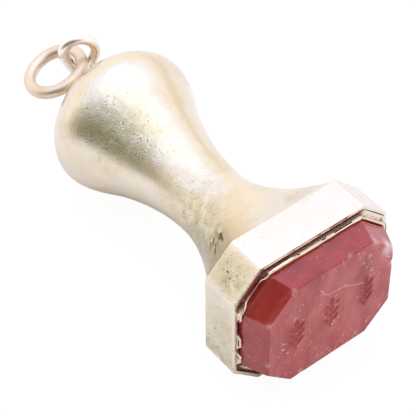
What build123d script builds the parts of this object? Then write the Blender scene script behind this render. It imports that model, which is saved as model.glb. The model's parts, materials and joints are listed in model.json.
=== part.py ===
from build123d import *
import math
import os

os.makedirs("parts", exist_ok=True)

# A fob seal that lies on one long side of its case. It is drawn about its own axis and laid down
# by one plane. In that plane u runs along the long side of the case, v runs up across the case,
# and a runs along the axis toward the stone, with a = 0 at the case's front rim.

# Case, a short octagonal box with a rim round the stone
case_length = 18.0
case_width = 15.5
case_cut = 3.0
case_depth = 4.2
case_wall = 0.4
case_corner_radius = 0.35
case_back_radius = 0.2
seat_depth = 1.5
seat_hold = 0.4
seat_thickness = 0.6

# Stone, an octagon set back from the case's sides, with a bevelled crown and a flat table
stone_setback_u = 0.75
stone_setback_v = 1.2
girdle_height = 0.5
bevel_run_u = 0.95
bevel_run_v = 0.25
bevel_run_cut = 0.25
table_height = 2.85

# Bezel, a thin upright frame round the stone on a flat foot
bezel_thickness = 0.22
bezel_foot = 0.35
bezel_height = 0.32

# Gaps between pieces that meet
stone_clearance = 0.04
bezel_clearance = 0.05
seat_clearance = 0.03

# Handle, a hollow skirt, waist and bulb of sheet metal
skirt_height = 10.3
skirt_curve = 2.0
waist_radius = 3.8
bulb_radius = 7.75
bulb_height = 24.6
crown_height = 5.5
crown_power = 1.75
handle_wall = 0.5

# Eye, a pear-shaped loop of round wire on a short shank at the crown
eye_wire = 1.14
eye_head_radius = 1.67
eye_tail_radius = 0.64
eye_rise = 2.4
eye_side = 0.54
eye_up = 1.23
eye_out = 2.09
eye_yaw = 26.1
eye_lean = 3.7
shank_foot_radius = 1.2
shank_tip_radius = 0.72

# Jump ring, held through the eye
ring_wire = 1.3
ring_radius = 2.89
ring_side = -2.13
ring_up = 1.84
ring_out = 2.94
ring_lean = 21.0
ring_heading = 147.1

# Engraving, a row of leafy sprigs cut into the table
sprig_count = 3
sprig_pitch = 4.1
sprig_height = 4.2
stem_width = 0.24
leaf_length = 1.35
leaf_width = 0.46
leaf_angle = 42.0
leaf_pairs = 3
cut_depth = 0.22

# Shape tables as shares: skirt sections up its height, points of the shoulder as shares of the rise
# and of the widening from waist to bulb, and points of the crown as shares of the bulb's radius
skirt_shares = (0, 0.06, 0.16, 0.3, 0.48, 0.72, 1)
shoulder_shares = ((0.4, 0.205), (0.68, 0.585))
crown_shares = (0.93, 0.76, 0.5, 0.24)

# Sizes and places that follow from those above
girdle_length = case_length - 2 * stone_setback_u
girdle_width = case_width - 2 * stone_setback_v
girdle_cut = case_cut
table_length = girdle_length - 2 * bevel_run_u
table_width = girdle_width - 2 * bevel_run_v
table_cut = girdle_cut - bevel_run_cut
handle_start = -case_depth
waist_start = handle_start - skirt_height
bulb_middle = handle_start - bulb_height
crown_top = bulb_middle - crown_height
ring_place = (ring_side, ring_up, crown_top - ring_out)
eye_place = (eye_side, eye_up, crown_top - eye_out)
shank_tip_up = eye_up - eye_tail_radius

# Directions in u, v, a: normal of the ring, then the eye's width and normal
lean, heading = math.radians(ring_lean), math.radians(ring_heading)
ring_facing = (
    math.sin(lean) * math.cos(heading),
    math.cos(lean),
    -math.sin(lean) * math.sin(heading),
)
yaw, tip = math.radians(eye_yaw), math.radians(eye_lean)
eye_across = (math.cos(yaw) * math.cos(tip), math.sin(tip), math.sin(yaw) * math.cos(tip))
eye_facing = (-math.sin(yaw), 0, math.cos(yaw))

# The seal lies on the lower edge of the case's rim and on the bulb, with its box centred on the
# origin. Its reach along the floor runs from the table's upper edge to the far side of the ring.
lying_tilt = math.atan2(bulb_radius - case_width / 2, -bulb_middle)
cos_tilt, sin_tilt = math.cos(lying_tilt), math.sin(lying_tilt)
front_reach = table_width / 2 * sin_tilt + table_height * cos_tilt
ring_slant = ring_facing[1] * sin_tilt + ring_facing[2] * cos_tilt
ring_span = ring_radius * math.sqrt(1 - ring_slant**2) + ring_wire / 2
back_reach = ring_span - ring_place[1] * sin_tilt - ring_place[2] * cos_tilt

seal = Plane(
    origin=(0, (front_reach - back_reach) / 2, case_width / 2 * cos_tilt),
    x_dir=(1, 0, 0),
    z_dir=(0, -cos_tilt, -sin_tilt),
)
seal_axis = Axis(seal.origin, seal.z_dir)

# Half section through the axis: x is the radius and y runs along the axis toward the stone
half_section = Plane(origin=seal.origin, x_dir=seal.x_dir, z_dir=-seal.y_dir)


def place(u, v, a):
    """Give the point that stands at u, v, a on the lying seal."""
    return seal.from_local_coords(Vector(u, v, a))


def toward(u, v, a):
    """Give the direction that points along u, v, a on the lying seal."""
    return place(u, v, a) - seal.origin


def octagon(length, width, cut, inset=0):
    """Give the corners of an octagon with equal corner cuts, moved inward by an inset."""
    x, y = length / 2 - inset, width / 2 - inset
    c = cut - inset * (2 - math.sqrt(2))
    right = [(x, -y + c), (x, y - c), (x - c, y)]
    left = [(-x + c, y), (-x, y - c), (-x, -y + c)]
    return [Vector(*point) for point in right + left + [(-x + c, -y), (x - c, -y)]]


def rounded_spans(corners, radius):
    """Give the start, middle and end of each corner arc and each side of a rounded octagon."""
    back_off = radius * math.tan(math.radians(22.5))
    depth = radius / math.cos(math.radians(22.5)) - radius
    spans = []
    for here, before, after in zip(corners, corners[-1:] + corners[:-1], corners[1:] + corners[:1]):
        to_before, to_after = (before - here).normalized(), (after - here).normalized()
        inward = (to_before + to_after).normalized()
        arc_end = here + to_after * back_off
        side_end = after - to_after * back_off
        spans.append((here + to_before * back_off, here + inward * depth, arc_end))
        spans.append((arc_end, (arc_end + side_end) / 2, side_end))
    return spans


def octagon_sketch(height, corners, radius=0):
    """Draw an octagon at a height over the front rim, with round corners if a radius is given."""
    with BuildSketch(seal.offset(height)) as sketch:
        with BuildLine():
            if radius:
                for k, (start, middle, end) in enumerate(rounded_spans(corners, radius)):
                    if k % 2:
                        Line(start, end)
                    else:
                        ThreePointArc(start, middle, end)
            else:
                Polyline(*corners, close=True)
        make_face()
    return sketch.sketch


def skirt_sketch(height, wall):
    """Draw the skirt at a height over its foot, octagonal there and round at the waist."""
    share = (1 - height / skirt_height) ** skirt_curve
    corners = octagon(case_length, case_width, case_cut, case_back_radius + wall)

    def drawn_in(point):
        return point * share + point.normalized() * (waist_radius - wall) * (1 - share)

    with BuildSketch(seal.offset(handle_start - height)) as sketch:
        with BuildLine():
            for k, span in enumerate(rounded_spans(corners, case_corner_radius)):
                start, middle, end = (drawn_in(point) for point in span)
                if share == 1 and k % 2:
                    Line(start, end)
                else:
                    ThreePointArc(start, middle, end)
        make_face()
    return sketch.sketch


def bulb_sketch(wall):
    """Draw half of the waist, shoulder, bulb and crown, inset by a wall."""
    waist, widest = waist_radius - wall, bulb_radius - wall
    rise, crown = bulb_middle - waist_start, crown_height - wall
    shoulder = [
        (waist + (widest - waist) * out, waist_start + rise * up) for up, out in shoulder_shares
    ]
    dome = [
        (widest * out, bulb_middle - crown * (1 - out**crown_power) ** (1 / crown_power))
        for out in crown_shares
    ]
    with BuildSketch(half_section) as sketch:
        with BuildLine():
            Line((0, waist_start), (waist, waist_start))
            Spline((waist, waist_start), *shoulder, (widest, bulb_middle), tangents=[(0, -1), (0, -1)])
            Spline((widest, bulb_middle), *dome, (0, bulb_middle - crown), tangents=[(0, -1), (-1, 0)])
            Line((0, bulb_middle - crown), (0, waist_start))
        make_face()
    return sketch.sketch


def sprig_sketch(middle):
    """Draw one upright leafy sprig on the table, with its middle at u = middle."""
    foot = -sprig_height / 2
    stem = sprig_height - leaf_length / 2
    step = (sprig_height - leaf_length) / leaf_pairs
    with BuildSketch(seal.offset(table_height)) as sketch:
        with Locations((middle, foot + stem / 2)):
            Rectangle(stem_width, stem)
        with Locations((middle, foot + stem)):
            Ellipse(leaf_width / 2, leaf_length / 2)
        for pair in range(leaf_pairs):
            for side in (-1, 1):
                turn = side * math.radians(leaf_angle)
                leaf_u = middle + math.sin(turn) * leaf_length / 2
                leaf_v = foot + pair * step + step / 2 + math.cos(turn) * leaf_length / 2
                with Locations(Location((leaf_u, leaf_v, 0), (0, 0, -math.degrees(turn)))):
                    Ellipse(leaf_width / 2, leaf_length / 2)
    return sketch.sketch


# Octagons that the pieces share
case_corners = octagon(case_length, case_width, case_cut)
pocket_corners = octagon(case_length, case_width, case_cut, case_wall)
ledge_corners = octagon(girdle_length, girdle_width, girdle_cut, seat_hold)
foot_corners = octagon(case_length, case_width, case_cut, case_wall + bezel_clearance)
girdle_corners = octagon(girdle_length, girdle_width, girdle_cut)
table_corners = octagon(table_length, table_width, table_cut)
bezel_inside = octagon(girdle_length, girdle_width, girdle_cut, -stone_clearance)
bezel_outside = octagon(
    girdle_length, girdle_width, girdle_cut, -stone_clearance - bezel_thickness
)
seat_top = seat_clearance - seat_depth

# Sections of the hollow handle, outer skin and inner skin
skirt_outside = [skirt_sketch(share * skirt_height, 0) for share in skirt_shares]
skirt_inside = [skirt_sketch(share * skirt_height, handle_wall) for share in skirt_shares]

# Centre line of the eye's wire: a large and a small arc joined by their common tangents
eye_plane = Plane(
    origin=place(*eye_place), x_dir=toward(*eye_across), z_dir=toward(*eye_facing)
)
flank_turn = math.degrees(math.asin((eye_head_radius - eye_tail_radius) / eye_rise))
with BuildLine(eye_plane) as eye_path:
    head = CenterArc((0, eye_rise), eye_head_radius, -flank_turn, 180 + 2 * flank_turn)
    tail = CenterArc((0, 0), eye_tail_radius, 180 + flank_turn, 180 - 2 * flank_turn)
    Line(head @ 1, tail @ 0)
    Line(tail @ 1, head @ 0)

# Body of one soldered piece: case with its seat, hollow handle, shank and eye
with BuildPart() as seal_body:
    extrude(octagon_sketch(handle_start, case_corners, case_corner_radius), amount=case_depth)
    fillet(seal_body.faces().sort_by(seal_axis)[0].edges(), case_back_radius)
    loft(sections=skirt_outside)
    revolve(bulb_sketch(0), axis=seal_axis)

    # Shank, a round taper from inside the crown's wall to the foot of the eye
    with BuildSketch(seal.offset(crown_top + handle_wall)):
        Circle(shank_foot_radius)
    with BuildSketch(seal.offset(crown_top - eye_out)):
        with Locations((eye_side, shank_tip_up)):
            Circle(shank_tip_radius)
    loft()

    # Eye, round wire along its centre line
    with BuildSketch(Plane(origin=head @ 0, z_dir=head % 0)):
        Circle(eye_wire / 2)
    sweep(path=eye_path.line)

    # Seat for the stone, then the throat and hollow behind it
    extrude(octagon_sketch(0, pocket_corners), amount=-seat_depth, mode=Mode.SUBTRACT)
    extrude(octagon_sketch(-seat_depth, ledge_corners), amount=-seat_thickness, mode=Mode.SUBTRACT)
    extrude(skirt_inside[0], amount=case_depth - seat_depth - seat_thickness, mode=Mode.SUBTRACT)
    loft(sections=skirt_inside, mode=Mode.SUBTRACT)
    revolve(bulb_sketch(handle_wall), axis=seal_axis, mode=Mode.SUBTRACT)

# Bezel that stands round the stone on a flat foot
with BuildPart() as bezel:
    extrude(octagon_sketch(seat_top, foot_corners), amount=bezel_foot)
    extrude(octagon_sketch(seat_top, bezel_outside), amount=bezel_height - seat_top)
    extrude(octagon_sketch(seat_top, bezel_inside), amount=bezel_height - seat_top, mode=Mode.SUBTRACT)

# Stone with its girdle, eight bevels and the engraved table
with BuildPart() as seal_stone:
    extrude(octagon_sketch(seat_top, girdle_corners), amount=girdle_height - seat_top)
    loft(
        sections=[
            octagon_sketch(girdle_height, girdle_corners),
            octagon_sketch(table_height, table_corners),
        ],
        ruled=True,
    )
    for sprig in range(sprig_count):
        sprig_middle = (sprig - (sprig_count - 1) / 2) * sprig_pitch
        extrude(sprig_sketch(sprig_middle), amount=-cut_depth, mode=Mode.SUBTRACT)

# Jump ring of round wire through the eye
with BuildPart(Plane(origin=place(*ring_place), z_dir=toward(*ring_facing))) as jump_ring:
    Torus(ring_radius, ring_wire / 2)

seal_body.part.label = "seal_body"
export_step(seal_body.part, "parts/seal_body.step")

bezel.part.label = "bezel"
export_step(bezel.part, "parts/bezel.step")

seal_stone.part.label = "seal_stone"
export_step(seal_stone.part, "parts/seal_stone.step")

jump_ring.part.label = "jump_ring"
export_step(jump_ring.part, "parts/jump_ring.step")
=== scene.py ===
"""Looks of a fob seal that lies on a long side of its case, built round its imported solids.

The seal's own axes are u along the long side of the case, v across the case and a along the axis
toward the stone, in millimetres, with a = 0 at the case's front rim. Meshes are worked out in
those axes and laid into the row frame, in metres, by one placement read from the record.
"""

import json
import logging
import math
from collections.abc import Mapping, Sequence
from dataclasses import dataclass
from enum import Enum
from functools import partial

import bpy
import numpy as np
from mathutils import Matrix, Vector


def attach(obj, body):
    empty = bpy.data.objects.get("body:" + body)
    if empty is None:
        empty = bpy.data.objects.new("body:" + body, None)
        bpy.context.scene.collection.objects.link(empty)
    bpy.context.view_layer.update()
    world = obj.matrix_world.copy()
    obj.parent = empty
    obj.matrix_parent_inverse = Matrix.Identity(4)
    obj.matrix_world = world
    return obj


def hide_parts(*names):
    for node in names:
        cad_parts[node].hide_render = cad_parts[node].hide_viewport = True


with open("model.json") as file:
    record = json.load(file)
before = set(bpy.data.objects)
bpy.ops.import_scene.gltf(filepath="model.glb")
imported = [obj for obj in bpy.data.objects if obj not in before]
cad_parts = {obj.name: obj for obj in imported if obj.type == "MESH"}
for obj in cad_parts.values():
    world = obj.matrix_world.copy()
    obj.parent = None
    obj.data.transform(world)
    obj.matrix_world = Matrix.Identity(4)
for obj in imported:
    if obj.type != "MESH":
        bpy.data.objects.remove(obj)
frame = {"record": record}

Array = np.ndarray
Socket = bpy.types.NodeSocket

MM = 0.001
BODY = "root"
QUARTER_TURN = math.pi / 2
SHARP_ANGLE = math.radians(32)
WHITE = (1.0, 1.0, 1.0, 1.0)

# Half the turn at an octagon's corner, and what its corner cut loses for each mm of inset.
HALF_CORNER = math.pi / 8
CUT_LOSS = 2 - math.sqrt(2)

# How far over the axis the record's point on the table lies, and the bezel's foot from the pocket's
# wall, in mm.
FACE_LIFT = 4.0
POCKET_GAP = 0.05

# A noise's octave is this strong against the one before it.
OCTAVE_SHARE = 0.55

# A Mix node keeps its numbers and its colours in sockets of their own, told apart by number alone.
NUMBER_A, NUMBER_B = 2, 3
COLOUR_A, COLOUR_B, COLOUR_OUT = 6, 7, 2

LOG = logging.getLogger("fob_seal")


class Mask(Enum):
    """Values from 0 to 1 on a mesh's points, which the finishes read by these names."""

    GRIME = "grime"
    PATINA = "patina"
    BURNISH = "burnish"
    ROSY = "rosy"
    ENGRAVED = "engraved"
    SCRATCH = "scratch"
    CHIPPED = "chipped"
    WORN = "worn"


class Keep(Enum):
    """What a pattern keeps of its noise."""

    ALL = "all"
    BLOTCHES = "blotches"
    HAIRLINES = "hairlines"


def smooth_step(values: Array, low: float, high: float) -> Array:
    """Ease from 0 at low to 1 at high.

    Args:
        values: Any numbers.
        low: Value that gives 0.
        high: Value that gives 1.

    Returns:
        3t^2 - 2t^3 of the share t of the way from low to high, held within 0 and 1.
    """
    share = np.clip((values - low) / (high - low), 0.0, 1.0)
    return share * share * (3.0 - 2.0 * share)


def fade(distance: Array, width: Array | float) -> Array:
    """Give 1 at no distance, falling as exp(-(distance / width)^2)."""
    return np.exp(-((distance / width) ** 2))


def unit(vectors: Array) -> Array:
    """Give the vectors at length 1, and zero vectors as they are."""
    length = np.linalg.norm(vectors, axis=-1, keepdims=True)
    return vectors / np.maximum(length, 1e-12)


def turns_round(count: int) -> Array:
    """Give that many even angles round a full turn."""
    return np.linspace(0, 2 * math.pi, count, endpoint=False)


def along_run(points: Array, start: Sequence[float], end: Sequence[float]) -> tuple[Array, Array]:
    """Measure points against a straight run.

    Args:
        points: Any points.
        start: Start of the run.
        end: End of the run.

    Returns:
        Distance of each point to the run, and the share of the run at its nearest place.
    """
    first = np.array(start, float)
    run = np.array(end, float) - first
    share = np.clip(((points - first) @ run) / (run @ run), 0, 1)
    return np.linalg.norm(points - first - share[..., None] * run, axis=-1), share


@dataclass(frozen=True)
class Placement:
    """Where the lying seal's own axes stand in the row frame.

    Attributes:
        origin: Centre of the case's front rim, in metres.
        axes: Rows are the directions of u, v and a.
    """

    origin: Array
    axes: Array

    @classmethod
    def from_record(cls, record: dict, table_height: float, face_lift: float) -> "Placement":
        """Find the placement from the flat face that the record states on the stone's table.

        Args:
            record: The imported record.
            table_height: Height of the table over the case's rim, in mm.
            face_lift: How far over the axis the stated point lies, along v, in mm.

        Returns:
            The seal's placement.
        """
        mount = next(m for m in record["mounts"] if m["name"] == "seal_face")
        along_a = unit(np.array(mount["axis"], float))
        along_u = np.array([1.0, 0.0, 0.0])
        along_v = np.cross(along_a, along_u)
        point = np.array(mount["pos_m"], float)
        origin = point - along_a * table_height * MM - along_v * face_lift * MM
        return cls(origin, np.stack([along_u, along_v, along_a]))

    def to_row(self, points: Array) -> Array:
        """Turn points in u, v, a and mm into points of the row frame in metres."""
        return self.origin + (points * MM) @ self.axes


class Shell:
    """One piece's closed surfaces, gathered from grids of points in u, v, a and mm."""

    def __init__(self) -> None:
        """Start with no surface."""
        self.points: list[Array] = []
        self.corners: list[Array] = []
        self.starts: list[Array] = []
        self.masks: dict[Mask, list[Array]] = {}
        self.point_count = 0
        self.corner_count = 0

    def add_points(
        self, points: Array, masks: Mapping[Mask, Array | float] | None = None
    ) -> Array:
        """Add points with their masks.

        Args:
            points: Any grid of points.
            masks: Values of each mask, one for each point or one for all.

        Returns:
            The new points' numbers, in the grid's shape.
        """
        masks = masks or {}
        flat = points.reshape(-1, 3)
        numbers = np.arange(len(flat)) + self.point_count
        for mask in dict.fromkeys([*self.masks, *masks]):
            values = np.asarray(masks.get(mask, 0.0), float).reshape(-1)
            old = self.masks.setdefault(mask, [np.zeros(self.point_count)])
            old.append(np.broadcast_to(values, len(flat)))
        self.points.append(flat)
        self.point_count += len(flat)
        return numbers.reshape(points.shape[:-1])

    def add_faces(self, faces: Array) -> None:
        """Add faces.

        Args:
            faces: Rows of point numbers, one row for each face.
        """
        count, size = faces.shape
        self.corners.append(faces.reshape(-1))
        self.starts.append(np.arange(count) * size + self.corner_count)
        self.corner_count += faces.size

    def add_quads(
        self, numbers: Array, closed_rows: bool = False, closed_columns: bool = False
    ) -> None:
        """Join a grid of point numbers by four-sided faces.

        Args:
            numbers: Point numbers, rows by columns.
            closed_rows: Whether the last row joins the first.
            closed_columns: Whether the last column joins the first.
        """
        if closed_rows:
            numbers = np.concatenate([numbers, numbers[:1]], axis=0)
        if closed_columns:
            numbers = np.concatenate([numbers, numbers[:, :1]], axis=1)
        near, far = numbers[:-1], numbers[1:]
        faces = np.stack([near[:, :-1], near[:, 1:], far[:, 1:], far[:, :-1]], -1)
        self.add_faces(faces.reshape(-1, 4))

    def add_cap(
        self, ring: Array, middle: Array, masks: Mapping[Mask, float] | None = None
    ) -> None:
        """Close a ring with triangles to a new point.

        Args:
            ring: Point numbers round the opening.
            middle: The new point.
            masks: Its masks.
        """
        centre = self.add_points(middle.reshape(1, 3), masks)
        self.add_faces(np.stack([np.roll(ring, -1), ring, np.full(len(ring), centre[0])], -1))

    def finish(self, name: str, placement: Placement) -> bpy.types.Object:
        """Make the object, with its place in its mesh.

        Args:
            name: The piece's name.
            placement: Where the seal lies.

        Returns:
            The new object, linked to the scene.
        """
        mesh = bpy.data.meshes.new(name)
        points = placement.to_row(np.concatenate(self.points))
        corners = np.concatenate(self.corners)
        starts = np.concatenate(self.starts)
        mesh.vertices.add(len(points))
        mesh.vertices.foreach_set("co", points.ravel())
        mesh.loops.add(len(corners))
        mesh.loops.foreach_set("vertex_index", corners.astype(np.int32))
        mesh.polygons.add(len(starts))
        mesh.polygons.foreach_set("loop_start", starts.astype(np.int32))
        mesh.update(calc_edges=True)
        for mask, values in self.masks.items():
            attribute = mesh.attributes.new(mask.value, "FLOAT", "POINT")
            attribute.data.foreach_set("value", np.concatenate(values).astype(np.float32))
        mesh.polygons.foreach_set("use_smooth", np.ones(len(starts), bool))
        mesh.set_sharp_from_angle(angle=SHARP_ANGLE)
        obj = bpy.data.objects.new(name, mesh)
        bpy.context.scene.collection.objects.link(obj)
        return obj


@dataclass(frozen=True)
class OctagonTrack:
    """A walk round an octagon with equal corner cuts, the same for every inset and rounding.

    Attributes:
        length: Size along u, in mm.
        width: Size along v, in mm.
        cut: Corner cut along each side, in mm.
        side_steps: Steps along each short side, corner cut and long side.
        arc_steps: Steps round each rounded corner.
    """

    length: float
    width: float
    cut: float
    side_steps: tuple[int, int, int] = (36, 16, 46)
    arc_steps: int = 6

    def inside(self, gap: float) -> "OctagonTrack":
        """Give the walk round the octagon that lies evenly inside this one."""
        cut = self.cut - gap * CUT_LOSS
        return OctagonTrack(self.length - 2 * gap, self.width - 2 * gap, cut)

    def corners(self, inset: Array) -> Array:
        """Give the eight corners, counter-clockwise.

        Along u and v they lie at the half sizes less the inset, and the cut shrinks by
        (2 - root 2) of it, so every side moves in alike.

        Args:
            inset: How far each outline lies inside the octagon, in mm.

        Returns:
            Corners in u and v for each inset.
        """
        inset = np.asarray(inset, float)[..., None]
        x = self.length / 2 - inset
        y = self.width / 2 - inset
        c = self.cut - inset * CUT_LOSS
        us = np.concatenate([x, x, x - c, c - x, -x, -x, c - x, x - c], -1)
        vs = np.concatenate([c - y, y - c, y, y, y - c, c - y, -y, -y], -1)
        return np.stack([us, vs], -1)

    def walk(self) -> tuple[Array, Array, Array]:
        """Plan the walk round the octagon.

        Returns:
            For each point its corner, its turn on the corner's arc, and its share of the way
            along the side after it, or -1 on the arc itself.
        """
        short, slant, long = self.side_steps
        turns = np.linspace(-HALF_CORNER, HALF_CORNER, self.arc_steps + 1)
        index, turn, share = [], [], []
        for corner, steps in enumerate((short, slant, long, slant) * 2):
            along = np.arange(1, steps) / steps
            index.append(np.full(len(turns) + len(along), corner))
            turn.append(np.concatenate([turns, np.zeros(len(along))]))
            share.append(np.concatenate([np.full(len(turns), -1.0), along]))
        return np.concatenate(index), np.concatenate(turn), np.concatenate(share)

    def rings(self, inset: Array, rounding: Array) -> Array:
        """Give the outline for each inset and corner radius.

        On a corner a point is the arc's centre plus its radius along the corner's outward direction
        turned by the point's angle. On a side it is that share of the way between two arcs.

        Args:
            inset: How far each outline lies inside the octagon, in mm.
            rounding: Corner radius of each outline, in mm.

        Returns:
            Points in u and v, one row for each outline.
        """
        index, turn, share = self.walk()
        corners = self.corners(inset)
        following = np.roll(corners, -1, -2)
        ahead = unit(following - corners)
        inward = unit(ahead - np.roll(ahead, 1, -2))
        radius = np.asarray(rounding, float)[..., None, None]
        back_off = radius * math.tan(HALF_CORNER)
        centre = corners + inward * radius / math.cos(HALF_CORNER)
        out = -inward[..., index, :]
        cos, sin = np.cos(turn)[:, None], np.sin(turn)[:, None]
        turned = out * cos + np.stack([-out[..., 1], out[..., 0]], -1) * sin
        on_arc = centre[..., index, :] + radius * turned
        start = (corners + ahead * back_off)[..., index, :]
        end = (following - ahead * back_off)[..., index, :]
        on_side = start + (end - start) * share[:, None]
        return np.where(share[:, None] < 0, on_arc, on_side)


@dataclass
class Stations:
    """Cross sections of the body along its axis.

    Attributes:
        height: Place a of each section, in mm.
        inset: Inset of its octagon, in mm.
        rounding: Corner radius of its octagon, in mm.
        share: Share of the octagon in the section.
        circle: Radius of the circle that makes up the rest, in mm.
    """

    height: Array
    inset: Array
    rounding: Array
    share: Array
    circle: Array

    @classmethod
    def level(
        cls,
        height: Array,
        inset: Array | float,
        rounding: float,
        share: Array | float = 1.0,
        circle: Array | float = 0.0,
    ) -> "Stations":
        """Make sections, plain octagons unless a share and a circle say otherwise.

        Args:
            height: Place a of each section.
            inset: Inset of the octagon, for each or for all.
            rounding: Its corner radius, for all.
            share: Share of the octagon, for each or for all.
            circle: Radius of the circle, for each or for all.

        Returns:
            The sections.
        """
        full = np.ones_like(height)
        return cls(height, full * inset, full * rounding, full * share, full * circle)

    def joined(self, *others: "Stations") -> "Stations":
        """Give these stations with the others after them."""
        names = ("height", "inset", "rounding", "share", "circle")
        every = (self, *others)
        return Stations(*(np.concatenate([getattr(s, name) for s in every]) for name in names))


def clamped_spline(x: Array, y: Array, at: Array) -> Array:
    """Run the smooth cubic curve through points, level at both ends.

    Each span is the cubic with the points' values and slopes at its ends, and the slopes are those
    that make the second derivative continuous, from one small set of linear equations.

    Args:
        x: Places of the points, rising.
        y: Their values.
        at: Places to read.

    Returns:
        The curve's values there.
    """
    step = np.diff(x)
    rise = np.diff(y) / step
    size = len(x)
    system = np.eye(size)
    right = np.zeros(size)
    inner = np.arange(1, size - 1)
    system[inner, inner - 1] = 1 / step[:-1]
    system[inner, inner] = 2 * (1 / step[:-1] + 1 / step[1:])
    system[inner, inner + 1] = 1 / step[1:]
    right[inner] = 3 * (rise[:-1] / step[:-1] + rise[1:] / step[1:])
    slope = np.linalg.solve(system, right)
    span = np.clip(np.searchsorted(x, at) - 1, 0, size - 2)
    t = (at - x[span]) / step[span]
    h = step[span]
    start = (1 + 2 * t) * (1 - t) ** 2 * y[span] + t * (1 - t) ** 2 * h * slope[span]
    end = t * t * (3 - 2 * t) * y[span + 1] - t * t * (1 - t) * h * slope[span + 1]
    return start + end


def grid_normals(grid: Array) -> Array:
    """Give outward normals: the cross product of the step round and the step along.

    Args:
        grid: Points whose columns run round an axis counter-clockwise and whose rows run toward a.

    Returns:
        A normal for each point.
    """
    around = np.roll(grid, -1, 1) - np.roll(grid, 1, 1)
    return unit(np.cross(around, np.gradient(grid, axis=0)))


@dataclass(frozen=True)
class Dent:
    """A shallow round hollow, or a patch whose strength is its depth.

    Attributes:
        place: Its middle in u, v, a.
        radius: Distance at which it fades to two fifths, in mm.
        depth: Depth at the middle, in mm, or strength.
    """

    place: tuple[float, float, float]
    radius: float
    depth: float

    def sink(self, points: Array) -> Array:
        """Give the depth at each point: depth times exp(-(distance / radius)^2)."""
        distance = np.linalg.norm(points - np.array(self.place), axis=-1)
        return self.depth * fade(distance, self.radius)


@dataclass(frozen=True)
class Crease:
    """A narrow groove along a straight line.

    Attributes:
        start: One end in u, v, a.
        end: The other end.
        width: Half width of the groove, in mm.
        depth: Depth at its middle line, in mm.
        tip: Share of the width that is left at the ends.
    """

    start: tuple[float, float, float]
    end: tuple[float, float, float]
    width: float
    depth: float
    tip: float = 0.3

    def closeness(self, points: Array) -> Array:
        """Give 1 on the line, falling as exp(-(distance / width)^2), and thinner at the ends.

        Args:
            points: Any points in u, v, a.

        Returns:
            A value from 0 to 1 for each point.
        """
        distance, share = along_run(points, self.start, self.end)
        taper = self.tip + (1 - self.tip) * np.sin(np.pi * share) ** 0.5
        return fade(distance, self.width * taper)

    def sink(self, points: Array) -> Array:
        """Give the depth at each point."""
        return self.depth * self.closeness(points)


@dataclass(frozen=True)
class Ripple:
    """A slow unevenness left by hammering, polishing and long use.

    Attributes:
        depth: Its greatest depth, in mm.
        waves: For each sine its radians per mm along u, v and a, and its phase.
    """

    depth: float
    waves: tuple[tuple[float, float, float, float], ...]

    def sink(self, points: Array) -> Array:
        """Give the depth at each point: depth times the product of the sines there."""
        table = np.array(self.waves)
        return self.depth * np.sin(points @ table[:, :3].T + table[:, 3]).prod(-1)


@dataclass(frozen=True)
class Case:
    """The octagonal box that holds the stone. Sizes are in mm.

    The rim's inner edge is rounded by half of edge_radius, and the pocket's corners by
    inner_radius. The last three are rows of points: round an edge, along the sides, and over the
    rim's inner edge, down the pocket, in over the seat and down the throat.
    """

    length: float = 18.0
    width: float = 15.5
    cut: float = 3.0
    depth: float = 4.2
    wall: float = 0.4
    corner_radius: float = 0.35
    back_radius: float = 0.2
    edge_radius: float = 0.1
    inner_radius: float = 0.05
    seat_depth: float = 1.5
    seat_ledge: float = 1.2
    seat_thickness: float = 0.6
    round_steps: int = 7
    side_rows: int = 32
    pocket_rows: tuple[int, int, int, int] = (4, 7, 4, 3)

    def track(self) -> OctagonTrack:
        """Give the walk round the case."""
        return OctagonTrack(self.length, self.width, self.cut)

    def side_stations(self) -> Stations:
        """Go round the back edge in a quarter circle, then along the sides and round the rim.

        Returns:
            Sections from the back to the rim's top.
        """
        turn = np.linspace(0, QUARTER_TURN, self.round_steps)
        start = -self.depth + self.back_radius
        between = np.linspace(start, -self.edge_radius, self.side_rows)[1:-1]
        back = Stations.level(
            start - self.back_radius * np.cos(turn),
            self.back_radius * (1 - np.sin(turn)),
            self.corner_radius,
        )
        rim = Stations.level(
            -self.edge_radius * (1 - np.sin(turn)),
            self.edge_radius * (1 - np.cos(turn)),
            self.corner_radius,
        )
        return back.joined(Stations.level(between, 0.0, self.corner_radius), rim)

    def pocket_stations(self) -> Stations:
        """Go over the rim's inner edge, down the pocket, in over the seat and down the throat.

        Returns:
            Sections from the rim's top to the throat's end.
        """
        over_rows, wall_rows, seat_rows, throat_rows = self.pocket_rows
        turn = np.linspace(0, QUARTER_TURN, over_rows)
        round_over = self.edge_radius / 2
        ledge = self.wall + self.seat_ledge
        throat_end = -self.seat_depth - self.seat_thickness
        legs = (
            (-round_over * (1 - np.cos(turn)), self.wall - round_over * (1 - np.sin(turn))),
            (np.linspace(-round_over, -self.seat_depth, wall_rows + 1)[1:], self.wall),
            (
                np.full(seat_rows, -self.seat_depth),
                np.linspace(self.wall, ledge, seat_rows + 1)[1:],
            ),
            (np.linspace(-self.seat_depth, throat_end, throat_rows + 1)[1:], ledge),
        )
        lip, *rest = (Stations.level(height, inset, self.inner_radius) for height, inset in legs)
        return lip.joined(*rest)


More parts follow.
